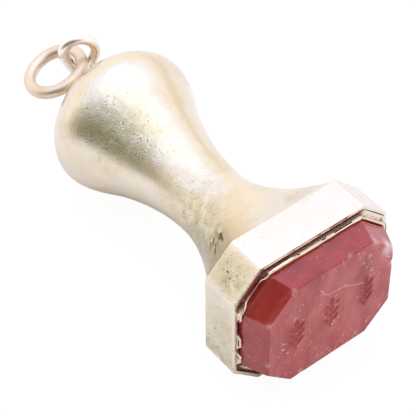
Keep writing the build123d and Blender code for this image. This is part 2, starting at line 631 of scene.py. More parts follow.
@dataclass(frozen=True)
class Handle:
    """The hollow handle: skirt, waist, shoulder, bulb and crown. Sizes are in mm.

    Attributes:
        skirt_curve: Power by which the octagon's share grows down the skirt.
        bulb_height: Height of the bulb's widest place over the foot.
        crown_power: Power of the crown's superellipse.
        shoulder_shares: Shares of the shoulder's rise and of its widening that it passes.
    """

    start: float = -4.2
    skirt_height: float = 10.3
    skirt_curve: float = 2.0
    waist_radius: float = 3.8
    bulb_radius: float = 7.75
    bulb_height: float = 24.6
    crown_height: float = 5.5
    crown_power: float = 1.75
    shoulder_shares: tuple[tuple[float, float], ...] = ((0.4, 0.205), (0.68, 0.585))
    corner_radius: float = 0.35
    crown_rows: int = 56
    shoulder_rows: int = 100
    skirt_rows: int = 84

    def crown_top(self) -> float:
        """Give the height a of the crown's top."""
        return self.start - self.bulb_height - self.crown_height

    def crown_stations(self) -> Stations:
        """Follow a superellipse from the top of the crown to the bulb's widest place.

        The radius is the bulb's times sin^(2/p) and the height is the crown's times cos^(2/p).

        Returns:
            Round sections.
        """
        turn = np.linspace(0, QUARTER_TURN, self.crown_rows)[:-1]
        power = 2 / self.crown_power
        circle = self.bulb_radius * np.sin(turn) ** power
        height = self.start - self.bulb_height - self.crown_height * np.cos(turn) ** power
        return Stations.level(height, 0.0, self.corner_radius, 0.0, circle)

    def shoulder_stations(self) -> Stations:
        """Follow the smooth curve from the bulb's widest place down to the waist.

        Returns:
            Round sections.
        """
        ups, outs = np.array([(0.0, 0.0), *self.shoulder_shares, (1.0, 1.0)]).T
        share = np.linspace(1, 0, self.shoulder_rows)
        widen = (self.bulb_radius - self.waist_radius) * clamped_spline(ups, outs, share)
        height = self.start - self.skirt_height - share * (self.bulb_height - self.skirt_height)
        circle = self.waist_radius + widen
        return Stations.level(height, 0.0, self.corner_radius, 0.0, circle)

    def skirt_stations(self, case: Case) -> Stations:
        """Follow the skirt down to the case: the octagon's share grows as (1 - height)^curve.

        Args:
            case: The case that the skirt stands on.

        Returns:
            Sections that turn from round to the case's octagon.
        """
        along = np.linspace(1, 0, self.skirt_rows)[1:]
        height = self.start - along * self.skirt_height
        share = (1 - along) ** self.skirt_curve
        return Stations.level(
            height, case.back_radius, self.corner_radius, share, self.waist_radius
        )


@dataclass(frozen=True)
class Wire:
    """A closed round wire bent in one plane.

    Attributes:
        centre: Where the line's own zero lies in u, v, a.
        across: First direction of the bending plane.
        upward: Second direction of it.
        wire: Diameter of the wire, in mm.
        sides: Points round the wire.
    """

    centre: tuple[float, float, float]
    across: Array
    upward: Array
    wire: float
    sides: int = 24

    def tube(self, line: Array, swell: Array | float = 0.0) -> Array:
        """Carry a circle along the closed line.

        The line is given in the plane's two directions. At each of its points the circle stands in
        the plane of the line's own normal and the bending plane's normal.

        Args:
            line: Points across and up, evenly ordered round the loop.
            swell: What is added to the wire's radius at each point of the tube.

        Returns:
            A grid closed both ways.
        """
        flat = np.array(self.centre) + line[:, :1] * self.across + line[:, 1:] * self.upward
        ahead = unit(np.roll(flat, -1, 0) - np.roll(flat, 1, 0))
        facing = np.cross(self.across, self.upward)
        outward = np.cross(ahead, facing)
        turn = turns_round(self.sides)[:, None]
        radius = np.broadcast_to(self.wire / 2 + swell, (len(line), self.sides))[..., None]
        circle = np.cos(turn) * outward[:, None] - np.sin(turn) * facing
        return flat[:, None] + radius * circle


@dataclass(frozen=True)
class Eye:
    """The pear-shaped eye and the shank that carries it. Sizes are in mm, angles in degrees.

    Attributes:
        rise: Distance between the middles of the two ends.
        side: Place u of the narrow end's middle.
        up: Place v of it.
        out: How far it stands off the crown.
        yaw: Turn of the eye's plane from u toward a.
        lean: Tilt of the eye in its plane.
        shank_sink: How deep the shank starts under the crown's top.
        fillet: What the solder adds to the shank's radius down there.
        fillet_curve: Power by which the solder thins out.
        arc_points: Points on the wide end, the narrow end and each straight limb.
        shank_points: Points along the shank and round it.
    """

    wire: float = 1.14
    head_radius: float = 1.67
    tail_radius: float = 0.64
    rise: float = 2.4
    side: float = 0.54
    up: float = 1.23
    out: float = 2.09
    yaw: float = 26.1
    lean: float = 3.7
    shank_foot: float = 1.2
    shank_tip: float = 0.72
    shank_sink: float = 0.45
    fillet: float = 0.25
    fillet_curve: float = 2.2
    foot_grime: float = 0.3
    arc_points: tuple[int, int, int] = (80, 36, 16)
    shank_points: tuple[int, int] = (24, 40)

    def line(self) -> Array:
        """Join a large and a small arc by their common tangents.

        Returns:
            One closed line across and up.
        """
        on_head, on_tail, on_limb = self.arc_points
        slant = math.asin((self.head_radius - self.tail_radius) / self.rise)
        head = np.linspace(-slant, math.pi + slant, on_head)
        tail = np.linspace(math.pi + slant, 2 * math.pi - slant, on_tail)
        head_arc = np.stack([np.cos(head), np.sin(head)], -1) * self.head_radius + [0, self.rise]
        tail_arc = np.stack([np.cos(tail), np.sin(tail)], -1) * self.tail_radius
        share = np.linspace(0, 1, on_limb + 2)[1:-1, None]
        down = head_arc[-1] + (tail_arc[0] - head_arc[-1]) * share
        back = tail_arc[-1] + (head_arc[0] - tail_arc[-1]) * share
        return np.concatenate([head_arc, down, tail_arc, back])

    def bent_wire(self, crown_top: float) -> Wire:
        """Set the eye's wire in its leaning plane.

        Args:
            crown_top: Height a of the crown's top.

        Returns:
            The wire, ready to follow the eye's line.
        """
        yaw, lean = math.radians(self.yaw), math.radians(self.lean)
        across = np.array([math.cos(yaw), 0, math.sin(yaw)])
        upward = np.array([0.0, 1.0, 0.0])
        leaning = across * math.cos(lean) + upward * math.sin(lean)
        rising = upward * math.cos(lean) - across * math.sin(lean)
        return Wire((self.side, self.up, crown_top - self.out), leaning, rising, self.wire)

    def shank(self, crown_top: float) -> Array:
        """Carry a circle from inside the crown to the eye's foot.

        Its middle leans over evenly, and its radius falls quickly at first, as the tip's plus what
        is left times (1 - share)^power, which gives the solder's hollow fillet.

        Args:
            crown_top: Height a of the crown's top.

        Returns:
            A grid of points, closed round the shank.
        """
        rows, sides = self.shank_points
        share = np.linspace(0, 1, rows)[:, None]
        turn = turns_round(sides)
        foot = np.array([0, 0, crown_top + self.shank_sink])
        tip = np.array([self.side, self.up - self.tail_radius, crown_top - self.out])
        widest = self.shank_foot + self.fillet - self.shank_tip
        radius = self.shank_tip + widest * (1 - share) ** self.fillet_curve
        circle = np.stack([np.cos(turn), -np.sin(turn), 0 * turn], -1)
        return (foot * (1 - share) + tip * share)[:, None] + radius[..., None] * circle


@dataclass(frozen=True)
class Wear:
    """How dirt, burnished edges and a painted highlight gather. Places and widths are in mm,
    strengths to 1.

    Attributes:
        seam: Strength of the dirt where the skirt meets the case.
        seam_place: How far behind the case's back edge its middle lies, and how far past it ends.
        seam_width: Width of that line of dirt.
        seam_side: Places along -u between which it fades in.
        pit: Strength of the dirt in the pits.
        clean_rows: Rows inside the rim that stay clean.
        edge_width: Width of the burnished band along the case's upright edges.
        edge_start: Distance from the case's back over which that band starts.
        rim_place: How far under the rim its burnished band is strongest.
        rim_width: Width of the burnished band along the rim.
        top: Strength of the painted highlight that makes the upper face paler.
        top_band: Heights v between which that painted highlight fades in.
        floor: Height v under which nothing is burnished.
        floor_band: Heights v between which wear fades in, so that the seal still lies flat.
        rim_band: Places a between which the worn corner fades in.
        ripples: Slow unevenness all over the outside.
        ripple_sink: Depth round which the ripples swing, so that none stands proud.
    """

    seam: float = 0.6
    seam_place: tuple[float, float] = (0.1, 0.05)
    seam_width: float = 0.28
    seam_side: tuple[float, float] = (-1.0, 6.0)
    pit: float = 0.75
    clean_rows: int = 3
    edge_width: float = 0.22
    edge_start: float = 0.1
    rim_place: float = 0.05
    rim_width: float = 0.16
    # Painted highlight: this makes the case's upper face paler.
    top: float = 0.5
    top_band: tuple[float, float] = (7.3, 7.6)
    floor: float = -7.7
    floor_band: tuple[float, float] = (-7.6, -6.8)
    rim_band: tuple[float, float] = (-0.9, -0.1)
    ripples: tuple[Ripple, ...] = (
        Ripple(0.012, ((0.9, 0, 0, 1.3), (0, 0.8, 0, 0.4), (0, 0, 0.7, 0))),
        Ripple(0.006, ((2.1, 0, 1.3, 0), (0, 1.9, -1.1, 0))),
    )
    ripple_sink: float = 0.018


@dataclass(frozen=True)
class SealBody:
    """The soldered body: case, hollow handle, shank and eye, worked out as one piece.

    Attributes:
        case: The stone's box.
        handle: Skirt, waist, bulb and crown.
        eye: Eye and shank.
        dents: Hollows knocked into it.
        pits: Small dirty hollows.
        creases: Dirty grooves.
        wrinkles: Clean grooves.
        patina: Patches of tarnish, and patches of painted shade and painted warm light; depth is
            strength.
        worn_corner: Where the rim is worn down.
        wear: How dirt and burnish gather.
    """

    case: Case
    handle: Handle
    eye: Eye
    dents: tuple[Dent, ...]
    pits: tuple[Dent, ...]
    creases: tuple[Crease, ...]
    wrinkles: tuple[Crease, ...]
    patina: tuple[Dent, ...]
    worn_corner: Dent
    wear: Wear = Wear()

    def grid(self) -> tuple[Array, int]:
        """Work out the body's points.

        Each section is the octagon's outline times its share, plus the same direction times the
        circle's radius and the rest of the share.

        Returns:
            Points by section and by place round it, and the number of outside sections.
        """
        outside = self.handle.crown_stations().joined(
            self.handle.shoulder_stations(),
            self.handle.skirt_stations(self.case),
            self.case.side_stations(),
        )
        stations = outside.joined(self.case.pocket_stations())
        outline = self.case.track().rings(stations.inset, stations.rounding)
        share = stations.share[:, None, None]
        round_part = unit(outline) * stations.circle[:, None, None]
        section = outline * share + round_part * (1 - share)
        height = np.broadcast_to(stations.height[:, None, None], section[..., :1].shape)
        return np.concatenate([section, height], -1), len(outside.height)

    def wear_in(self, points: Array, outside: int) -> Array:
        """Sink the marks and the worn corner into the outside of the grid.

        A point moves against its normal by the sum of the depths there, and the worn corner lowers
        the rim.

        Args:
            points: The body's grid.
            outside: How many of its sections show outside.

        Returns:
            The moved grid.
        """
        marks = (*self.dents, *self.pits, *self.creases, *self.wrinkles, *self.wear.ripples)
        depth = sum(mark.sink(points) for mark in marks) + self.wear.ripple_sink
        shown = (np.arange(len(points)) < outside)[:, None]
        clear_of_floor = smooth_step(points[..., 1], *self.wear.floor_band)
        depth = np.where(shown, depth, 0) * clear_of_floor
        moved = points - grid_normals(points) * depth[..., None]
        near_rim = smooth_step(points[..., 2], *self.wear.rim_band)
        moved[..., 2] -= near_rim * self.worn_corner.sink(points)
        return moved

    def masks(self, points: Array, outside: int) -> dict[Mask, Array]:
        """Work out where dirt, tarnish, burnished edges, painted shade, light and highlight lie.

        Args:
            points: The body's grid before wear.
            outside: How many of its sections show outside.

        Returns:
            Values of the grime mask, the tarnish and painted light mask and the edge and highlight
            mask.
        """
        wear = self.wear
        u, v, a = np.moveaxis(points, -1, 0)
        inside = (np.arange(len(points)) >= outside + wear.clean_rows)[:, None]
        past_back = a + self.case.depth
        middle, end = wear.seam_place
        seam = wear.seam * fade(past_back + middle, wear.seam_width) * (past_back < end)
        seam = seam * smooth_step(-u, *wear.seam_side)
        creases = sum(mark.closeness(points) for mark in self.creases)
        pits = sum(mark.sink(points) / mark.depth for mark in self.pits)
        grime = np.where(inside, 1.0, seam + creases + wear.pit * pits)
        # Tarnish patches; two on the case's left side paint shade and one on the waist paints
        # warmer light.
        patina = sum(mark.sink(points) for mark in self.patina)
        outline = self.case.track().rings(np.zeros(1), np.zeros(1))[0]
        corners = self.case.track().corners(np.zeros(1))[0]
        gap = np.linalg.norm(outline[:, None] - corners, axis=-1).min(1)
        on_case = smooth_step(past_back, -wear.edge_start, wear.edge_start)
        rim = fade(a + wear.rim_place, wear.rim_width)
        # Painted highlight: the case's upper face is made paler, on top of the real rubbing on its
        # edges and rim.
        upper = wear.top * smooth_step(v, *wear.top_band)
        burnish = (fade(gap, wear.edge_width) + upper) * on_case + rim
        burnish = np.where(inside | (v <= wear.floor), 0.0, burnish)
        values = {Mask.GRIME: grime, Mask.PATINA: patina, Mask.BURNISH: burnish}
        return {mask: np.clip(value, 0, 1) for mask, value in values.items()}

    def build(self, placement: Placement) -> bpy.types.Object:
        """Make the body's mesh.

        Args:
            placement: Where the seal lies.

        Returns:
            The body, as one object with the eye and its shank.
        """
        shell = Shell()
        points, outside = self.grid()
        worn = self.wear_in(points, outside)
        masks = self.masks(points, outside)
        numbers = shell.add_points(worn[1:], {mask: values[1:] for mask, values in masks.items()})
        shell.add_quads(numbers, closed_columns=True)
        shell.add_cap(numbers[0], worn[0, 0])
        shell.add_cap(numbers[-1][::-1], worn[-1].mean(0), {Mask.GRIME: 1.0})

        crown_top = self.handle.crown_top()
        loop = self.eye.bent_wire(crown_top).tube(self.eye.line())
        loop_numbers = shell.add_points(loop, {Mask.ROSY: 1.0})
        shell.add_quads(loop_numbers, closed_rows=True, closed_columns=True)
        shank = self.eye.shank(crown_top)
        rosy = np.broadcast_to(np.linspace(0, 1, len(shank))[:, None], shank.shape[:2])
        ends = shell.add_points(
            shank, {Mask.ROSY: rosy, Mask.GRIME: self.eye.foot_grime * (1 - rosy)}
        )
        shell.add_quads(ends, closed_columns=True)
        shell.add_cap(ends[0], shank[0].mean(0), {Mask.ROSY: 1.0})
        shell.add_cap(ends[-1][::-1], shank[-1].mean(0), {Mask.ROSY: 1.0})
        return shell.finish("gold_body", placement)


@dataclass(frozen=True)
class Notch:
    """A stretch of the bezel's lip that is broken off or bent.

    Attributes:
        place: Its middle in u and v, in mm.
        reach: Distance at which it fades, in mm.
        drop: How far the lip is worn down there, in mm.
        lean: How far the lip leans outward there, in mm.
        fill: How far metal fills the groove beside it, from 0 to 1 at the rim's level.
        core: Share of the reach within which it is whole.
    """

    place: tuple[float, float]
    reach: float
    drop: float
    lean: float
    fill: float = 0.0
    core: float = 0.6

    def share(self, outline: Array) -> Array:
        """Give 1 at the middle of the stretch, falling to 0 past its reach."""
        gap = np.linalg.norm(outline - np.array(self.place), axis=-1)
        return 1 - smooth_step(gap, self.core * self.reach, self.reach)


@dataclass(frozen=True)
class Bezel:
    """The thin frame round the stone: an upright lip on a flat foot. Sizes are in mm.

    Attributes:
        girdle: Walk round the stone's girdle.
        pocket: Walk round the foot's outer edge.
        seat: Place a of its underside.
        height: Place a of the lip's top.
        slack: What the lip's top stays under that, for its raggedness.
        ragged: Height of each wave of raggedness.
        ragged_waves: Waves round the lip.
        ragged_top: Share of the raggedness that shows in the lip's height.
        ragged_lean: Share of it that shows in how the lip leans.
        foot_lean: Share of the lean on the inside of the lip.
        round_start: Share of the lip's height at which its round top starts.
        fill_level: Place a of the foot where metal fills the groove.
        dirt_band: Places a between which the dirt thins out.
        filled_dirt: Share of the dirt that is left where metal fills the groove.
        notches: Where the lip is broken or bent.
        stains: Spots of dirt, whose depth is their strength.
    """

    girdle: OctagonTrack
    pocket: OctagonTrack
    seat: float = -1.47
    stone_gap: float = 0.04
    thickness: float = 0.4
    foot: float = 1.25
    height: float = 0.48
    slack: float = 0.04
    corner_radius: float = 0.05
    ragged: float = 0.02
    ragged_waves: tuple[int, ...] = (7, 13, 23, 41)
    ragged_top: float = 0.6
    ragged_lean: float = 0.25
    foot_lean: float = 0.1
    round_start: float = 0.9
    fill_level: float = -0.02
    dirt_band: tuple[float, float] = (-0.1, 0.2)
    filled_dirt: float = 0.2
    side_points: int = 5
    round_points: int = 7
    notches: tuple[Notch, ...] = ()
    stains: tuple[Dent, ...] = ()

    def section(self) -> tuple[Array, Array, Array, Array]:
        """Set out the lip's section: up the inside, over the round top and down the outside.

        Returns:
            For each of its points the inset from the girdle, the share of the lip's height, what
            the round top takes off that, and the share of the lean.
        """
        side, over = self.side_points, self.round_points
        turn = np.linspace(0, math.pi, over)
        half = self.thickness / 2
        ends = -self.stone_gap, -self.stone_gap - self.thickness
        top_inset = -self.stone_gap - half + half * np.cos(turn)
        inset = np.concatenate([np.full(side, ends[0]), top_inset, np.full(side, ends[1])])
        up = np.linspace(0, self.round_start, side)
        rise = np.concatenate([up, np.ones(over), up[::-1]])
        lift = np.concatenate([np.zeros(side), half * np.sin(turn) - half, np.zeros(side)])
        leaning = np.linspace(self.foot_lean, 1, over)
        lean = np.concatenate([np.full(side, self.foot_lean), leaning, np.ones(side)])
        return inset, rise[:, None], lift[:, None], lean[:, None]

    def build(self, placement: Placement) -> bpy.types.Object:
        """Carry the frame's section round the stone.

        The section goes over the lip, out along the foot and back under it. The lip's height is
        lowered by the notches and by a small unevenness, a sum of sines of the way round, and it
        leans outward with the notches, more toward its top as the square of the height's share.

        Args:
            placement: Where the seal lies.

        Returns:
            The bezel.
        """
        plain = self.girdle.rings(np.array([0.0]), np.array([self.corner_radius]))[0]
        around = turns_round(len(plain))
        ragged = sum(self.ragged * np.sin(k * around + k * k) for k in self.ragged_waves)
        shares = [(notch, notch.share(plain)) for notch in self.notches]
        drop = sum(notch.drop * share for notch, share in shares)
        bend = sum(notch.lean * share for notch, share in shares)
        filled = sum(notch.fill * share for notch, share in shares)
        top = self.height - self.slack + self.ragged_top * ragged - drop
        foot_top = (self.seat + self.foot) * (1 - filled) + self.fill_level * filled

        inset, rise, lift, lean = self.section()
        lip = self.girdle.rings(inset, np.full(len(inset), self.corner_radius))
        inner = np.arange(len(inset))[:, None] < self.side_points + self.round_points // 2
        base = np.where(inner, self.seat, foot_top)
        height = base + (top - base) * rise + lift
        out = np.maximum(rise**2 * (lean * bend + self.ragged_lean * ragged), 0)
        lip = np.concatenate([lip + unit(lip) * out[..., None], height[..., None]], -1)
        edge = self.pocket.rings(np.zeros(2), np.full(2, self.corner_radius))
        levels = np.stack([foot_top, np.full_like(foot_top, self.seat)])
        points = np.concatenate([lip, np.concatenate([edge, levels[..., None]], -1)])
        dirt = 1 - smooth_step(points[..., 2], *self.dirt_band)
        dirt = dirt * (1 - (1 - self.filled_dirt) * filled)
        dirt = np.clip(dirt + sum(stain.sink(points) for stain in self.stains), 0, 1)
        shell = Shell()
        numbers = shell.add_points(points, {Mask.GRIME: dirt})
        shell.add_quads(numbers[:, ::-1], closed_rows=True, closed_columns=True)
        return shell.finish("gold_bezel", placement)


@dataclass(frozen=True)
class Sprigs:
    """A row of upright leafy sprigs cut into the table. Sizes are in mm, the angle in degrees.

    Attributes:
        stem_share: Depth of the stem against the leaves.
        stem_fade: Half of the way over which a stem's end fades.
        leaf_angle: How far a side leaf stands off the stem.
    """

    count: int = 3
    pitch: float = 4.1
    height: float = 4.2
    stem_width: float = 0.32
    stem_share: float = 0.8
    stem_fade: float = 0.1
    leaf_length: float = 1.35
    leaf_width: float = 0.54
    leaf_angle: float = 42.0
    leaf_pairs: int = 3
    depth: float = 0.17

    def leaf(self, u: Array, v: Array, middle: tuple[float, float], turn: float) -> Array:
        """Cut one leaf: the root of 1 - (x/half width)^2 - (y/half length)^2.

        Args:
            u: Places along the row.
            v: Places across it.
            middle: The leaf's middle in u and v.
            turn: Its turn off upright, in radians.

        Returns:
            Depth from 0 to 1 at each place.
        """
        x = (u - middle[0]) * math.cos(turn) - (v - middle[1]) * math.sin(turn)
        y = (u - middle[0]) * math.sin(turn) + (v - middle[1]) * math.cos(turn)
        inside = 1 - (2 * x / self.leaf_width) ** 2 - (2 * y / self.leaf_length) ** 2
        return np.sqrt(np.clip(inside, 0, None))

    def cut(self, u: Array, v: Array) -> Array:
        """Cut the row, the deepest of its stems and leaves at each place.

        Args:
            u: Places along the row.
            v: Places across it.

        Returns:
            Depth from 0 to 1 at each place.
        """
        foot = -self.height / 2
        stem = self.height - self.leaf_length / 2
        step = (self.height - self.leaf_length) / self.leaf_pairs
        on_stem = smooth_step(v, foot - self.stem_fade, foot + self.stem_fade)
        past_stem = smooth_step(v, foot + stem, foot + stem + 2 * self.stem_fade)
        on_stem = on_stem * (1 - past_stem)
        marks = [np.zeros_like(u)]
        for sprig in range(self.count):
            middle = (sprig - (self.count - 1) / 2) * self.pitch
            groove = np.sqrt(np.clip(1 - (2 * (u - middle) / self.stem_width) ** 2, 0, None))
            marks.append(self.stem_share * groove * on_stem)
            marks.append(self.leaf(u, v, (middle, foot + stem), 0.0))
            for pair in range(self.leaf_pairs):
                for side in (-1, 1):
                    turn = side * math.radians(self.leaf_angle)
                    leaf_u = middle + math.sin(turn) * self.leaf_length / 2
                    leaf_v = foot + (pair + 0.5) * step + math.cos(turn) * self.leaf_length / 2
                    marks.append(self.leaf(u, v, (leaf_u, leaf_v), turn))
        return np.max(marks, axis=0)


@dataclass(frozen=True)
class Stone:
    """The octagonal stone with its bevels and engraved table. Sizes are in mm.

    Attributes:
        girdle_foot: Place a of the lowest outline over the seat.
        bevel_u: How far the bevels step in along u, as bevel_v along v.
        bevel_cut: How much the corner cut shrinks up the bevels.
        ripple_sink: Depth round which the ripples swing.
        chip_inward: How far a chip pulls inward, against down.
        chip_depth: Depth at which a chip looks wholly rough.
        hairline: Points of the long scratch, in u and v.
        cut_shine: How much less worn the engraving is.
        bevel_wear: Wear of the slanted corner bevels and of the others.
        edge_wear: Wear on the rows round the edge, from the table on.
        edge_red: How deep the red is on the rows just round the edge.
    """

    length: float = 16.5
    width: float = 13.1
    cut: float = 3.0
    seat: float = -1.47
    girdle_foot: float = -0.4
    girdle_height: float = 0.5
    bevel_u: float = 0.95
    bevel_v: float = 0.25
    bevel_cut: float = 0.25
    table_height: float = 2.85
    edge_radius: float = 0.14
    sprigs: Sprigs = Sprigs()
    ripples: tuple[Ripple, ...] = (
        Ripple(0.008, ((0.8, 0, 0, 1), (0, 0.9, 0, 2))),
        Ripple(0.004, ((2.3, 1.7, 0, 0),)),
    )
    ripple_sink: float = 0.012
    chips: tuple[Dent, ...] = ()
    chip_inward: float = 0.5
    chip_depth: float = 0.12
    hairline: tuple[tuple[float, float], ...] = ()
    hairline_width: float = 0.045
    cut_shine: float = 0.6
    bevel_wear: tuple[float, float] = (0.05, 0.4)
    edge_wear: tuple[float, ...] = (1.0, 0.9, 0.8, 0.6, 0.3)
    edge_red: tuple[float, ...] = (0.6, 0.75, 0.6, 0.25)
    columns: int = 190
    rows: int = 158
    edge_rows: int = 4
    bevel_rows: int = 8

    def track(self) -> OctagonTrack:
        """Give the walk round the girdle."""
        return OctagonTrack(self.length, self.width, self.cut)

    def octagon(self, level: float) -> tuple[float, float, float]:
        """Give length, width and corner cut at a level from 0 at the girdle to 1 at the table."""
        length = self.length - 2 * self.bevel_u * level
        width = self.width - 2 * self.bevel_v * level
        return length, width, self.cut - self.bevel_cut * level

    def corner_share(self) -> float:
        """Give the share along u at which the table's corner cuts start."""
        length, _, cut = self.octagon(1.0)
        return 1 - 2 * cut / length

    def spread(self) -> tuple[Array, Array]:
        """Spread the table grid's lines, with one on each corner.

        Returns:
            Shares along u and along v, from -1 to 1.
        """
        corner = self.corner_share()
        side = round(self.columns * (1 - corner) / 2)
        left = np.linspace(-1, -corner, side + 1)[:-1]
        middle = np.linspace(-corner, corner, self.columns - 2 * side + 1)
        return np.concatenate([left, middle, -left[::-1]]), np.linspace(-1, 1, self.rows + 1)

    def level_ring(self, p: Array, q: Array, level: float, height: float, inset: float) -> Array:
        """Place the table grid's points on the outline at another level.

        A point keeps its share of its own side, because each side's share along u is stretched on
        both sides of the corner's column in the same way.

        Args:
            p: Shares along u of the points.
            q: Shares along v of the points.
            level: Level from 0 at the girdle to 1 at the table.
            height: Height over the rim.
            inset: How far the outline is drawn in.

        Returns:
            The points.
        """
        length, width, cut = self.octagon(level)
        outline = OctagonTrack(length, width, cut).inside(inset)
        corner = self.corner_share()
        straight = np.minimum(np.abs(p), corner) / corner * (outline.length / 2 - outline.cut)
        past = np.clip(np.abs(p) - corner, 0, None) / (1 - corner) * outline.cut
        u = np.sign(p) * (straight + past)
        v = q * (outline.width / 2 - past)
        return np.stack([u, v, np.full_like(u, height)], -1)

    def chipped_off(self, points: Array) -> tuple[Array, Array]:
        """Sink the chips into points, straight down and a little inward.

        Args:
            points: Points before the chips.

        Returns:
            The moved points, and how chipped each is, from 0 to 1.
        """
        depth = sum(chip.sink(points) for chip in self.chips)
        pull = unit(points * [1, 1, 0]) * self.chip_inward + [0, 0, 1]
        return points - pull * depth[..., None], np.clip(depth / self.chip_depth, 0, 1)

    def scratch(self, points: Array) -> Array:
        """Draw the long hairline scratch: 1 on it, falling as exp(-(distance / half width)^2).

        Args:
            points: The table's points.

        Returns:
            A value from 0 to 1 for each.
        """
        runs = zip(self.hairline[:-1], self.hairline[1:])
        distances = [along_run(points[..., :2], start, end)[0] for start, end in runs]
        return fade(np.min(distances, axis=0), self.hairline_width)

    def side(self, p: Array, q: Array) -> Array:
        """Carry the table's outline down over the rounded edge, the bevel and the girdle.

        Args:
            p: Shares along u of the table's outer points.
            q: Shares along v of them.

        Returns:
            Rings of points, from the table down.
        """
        radius, rise = self.edge_radius, self.table_height - self.girdle_height
        turns = np.linspace(0, QUARTER_TURN, self.edge_rows + 1)[1:]
        downs = radius * (1 - np.cos(turns))
        levels = [(1 - down / rise, self.table_height - down) for down in downs]
        insets = [*(radius * (1 - np.sin(turns))), *[0.0] * (self.bevel_rows + 2)]
        bevel = np.linspace(1 - radius / rise, 0, self.bevel_rows + 1)[1:]
        levels += [(level, self.girdle_height + level * rise) for level in bevel]
        levels += [(0.0, self.girdle_foot), (0.0, self.seat)]
        rings = zip(levels, insets)
        return np.stack([self.level_ring(p, q, *level, inset) for level, inset in rings])

    def build(self, placement: Placement) -> bpy.types.Object:
        """Make the stone: the engraved table as a grid, its outer points carried down over the
        rounded edge, the bevels and the girdle, and a fan of triangles underneath.

        Args:
            placement: Where the seal lies.

        Returns:
            The stone.
        """
        p, q = np.meshgrid(*self.spread(), indexing="ij")
        table = self.level_ring(p, q, 1.0, self.table_height, self.edge_radius)
        cut = self.sprigs.cut(table[..., 0], table[..., 1])
        wave = sum(ripple.sink(table) for ripple in self.ripples)
        scratch = self.scratch(table)
        table[..., 2] -= self.sprigs.depth * cut + wave + self.ripple_sink
        table, chipped = self.chipped_off(table)
        masks = {
            Mask.ENGRAVED: cut,
            Mask.SCRATCH: scratch,
            Mask.CHIPPED: chipped,
            Mask.WORN: 1 - self.cut_shine * cut,
        }
        shell = Shell()
        numbers = shell.add_points(table, masks)
        shell.add_quads(numbers.T)

        last_u, last_v = p.shape[0] - 1, p.shape[1] - 1
        ahead, up = np.arange(last_u), np.arange(last_v)
        around = (
            np.concatenate([ahead, np.full(last_v, last_u), last_u - ahead, 0 * up]),
            np.concatenate([0 * ahead, up, np.full(last_u, last_v), last_v - up]),
        )
        edge_p, edge_q = p[around], q[around]
        side, chipped = self.chipped_off(self.side(edge_p, edge_q))
        red = np.zeros(side.shape[:2])
        red[: len(self.edge_red)] = np.array(self.edge_red)[:, None]
        slanted = (np.abs(edge_q) == 1) & (np.abs(edge_p) > self.corner_share())
        worn = np.broadcast_to(np.where(slanted, *self.bevel_wear), side.shape[:2]).copy()
        worn[: len(self.edge_wear)] = np.array(self.edge_wear)[:, None]
        lower = shell.add_points(
            side, {Mask.CHIPPED: chipped, Mask.ENGRAVED: red, Mask.WORN: worn}
        )
        rings = np.concatenate([numbers[around][None], lower])
        shell.add_quads(rings[::-1], closed_columns=True)
        shell.add_cap(rings[-1], np.array([0.0, 0.0, self.seat]))
        return shell.finish("red_stone", placement)


@dataclass(frozen=True)
class JumpRing:
    """The round wire ring in the eye. Sizes are in mm, angles in degrees.

    Attributes:
        out: How far it stands off the crown.
        lean: Tilt of the ring's axis off v.
        heading: Turn of that tilt.
        unevenness: Half of what wear takes off the wire's radius, at most.
        points: Points along the ring and round its wire.
    """

    wire: float = 1.3
    radius: float = 2.89
    side: float = -2.13
    up: float = 1.84
    out: float = 2.94
    lean: float = 21.0
    heading: float = 147.1
    unevenness: float = 0.008
    points: tuple[int, int] = (144, 28)

    def build(self, crown_top: float, placement: Placement) -> bpy.types.Object:
        """Carry the wire's circle round the ring, thinned by a sine of three waves round it.

        Args:
            crown_top: Height a of the crown's top.
            placement: Where the seal lies.

        Returns:
            The jump ring.
        """
        count, sides = self.points
        lean, heading = math.radians(self.lean), math.radians(self.heading)
        tilt = math.sin(lean)
        normal = np.array([tilt * math.cos(heading), math.cos(lean), -tilt * math.sin(heading)])
        across = unit(np.cross(normal, np.array([0.0, 0.0, 1.0])))
        turn = turns_round(count)
        line = np.stack([np.cos(turn), np.sin(turn)], -1) * self.radius
        place = (self.side, self.up, crown_top - self.out)
        wear = -self.unevenness * (1 + np.sin(turn * 3 + 1)[:, None])
        tube = Wire(place, across, np.cross(normal, across), self.wire, sides).tube(line, wear)
        shell = Shell()
        shell.add_quads(shell.add_points(tube), closed_rows=True, closed_columns=True)
        return shell.finish("rose_jump_ring", placement)


def linear(colour: str) -> tuple[float, float, float, float]:
    """Turn an sRGB colour linear.

    Args:
        colour: Hex colour such as "#A0B0C0".

    Returns:
        Linear red, green and blue, and full alpha.
    """
    shares = [int(colour[k : k + 2], 16) / 255 for k in (1, 3, 5)]
    bent = [s / 12.92 if s <= 0.04045 else ((s + 0.055) / 1.055) ** 2.4 for s in shares]
    return (*bent, 1.0)


def add_node(
    tree: bpy.types.NodeTree,
    kind: str,
    inputs: Mapping[str | int, object] | None = None,
    output: str | int = 0,
    **settings: object,
) -> Socket | None:
    """Add a node to a tree.

    Args:
        tree: The node tree.
        kind: The node's type name after "ShaderNode".
        inputs: For each input by name or number, the socket that feeds it or its value.
        output: The output that is wanted.
        **settings: Properties set on the node itself.

    Returns:
        The wanted output, or None where the node has none.
    """
    node = tree.nodes.new(f"ShaderNode{kind}")
    for name, setting in settings.items():
        setattr(node, name, setting)
    for name, value in (inputs or {}).items():
        if isinstance(value, Socket):
            tree.links.new(value, node.inputs[name])
        else:
            node.inputs[name].default_value = value
    return node.outputs[output] if node.outputs else None


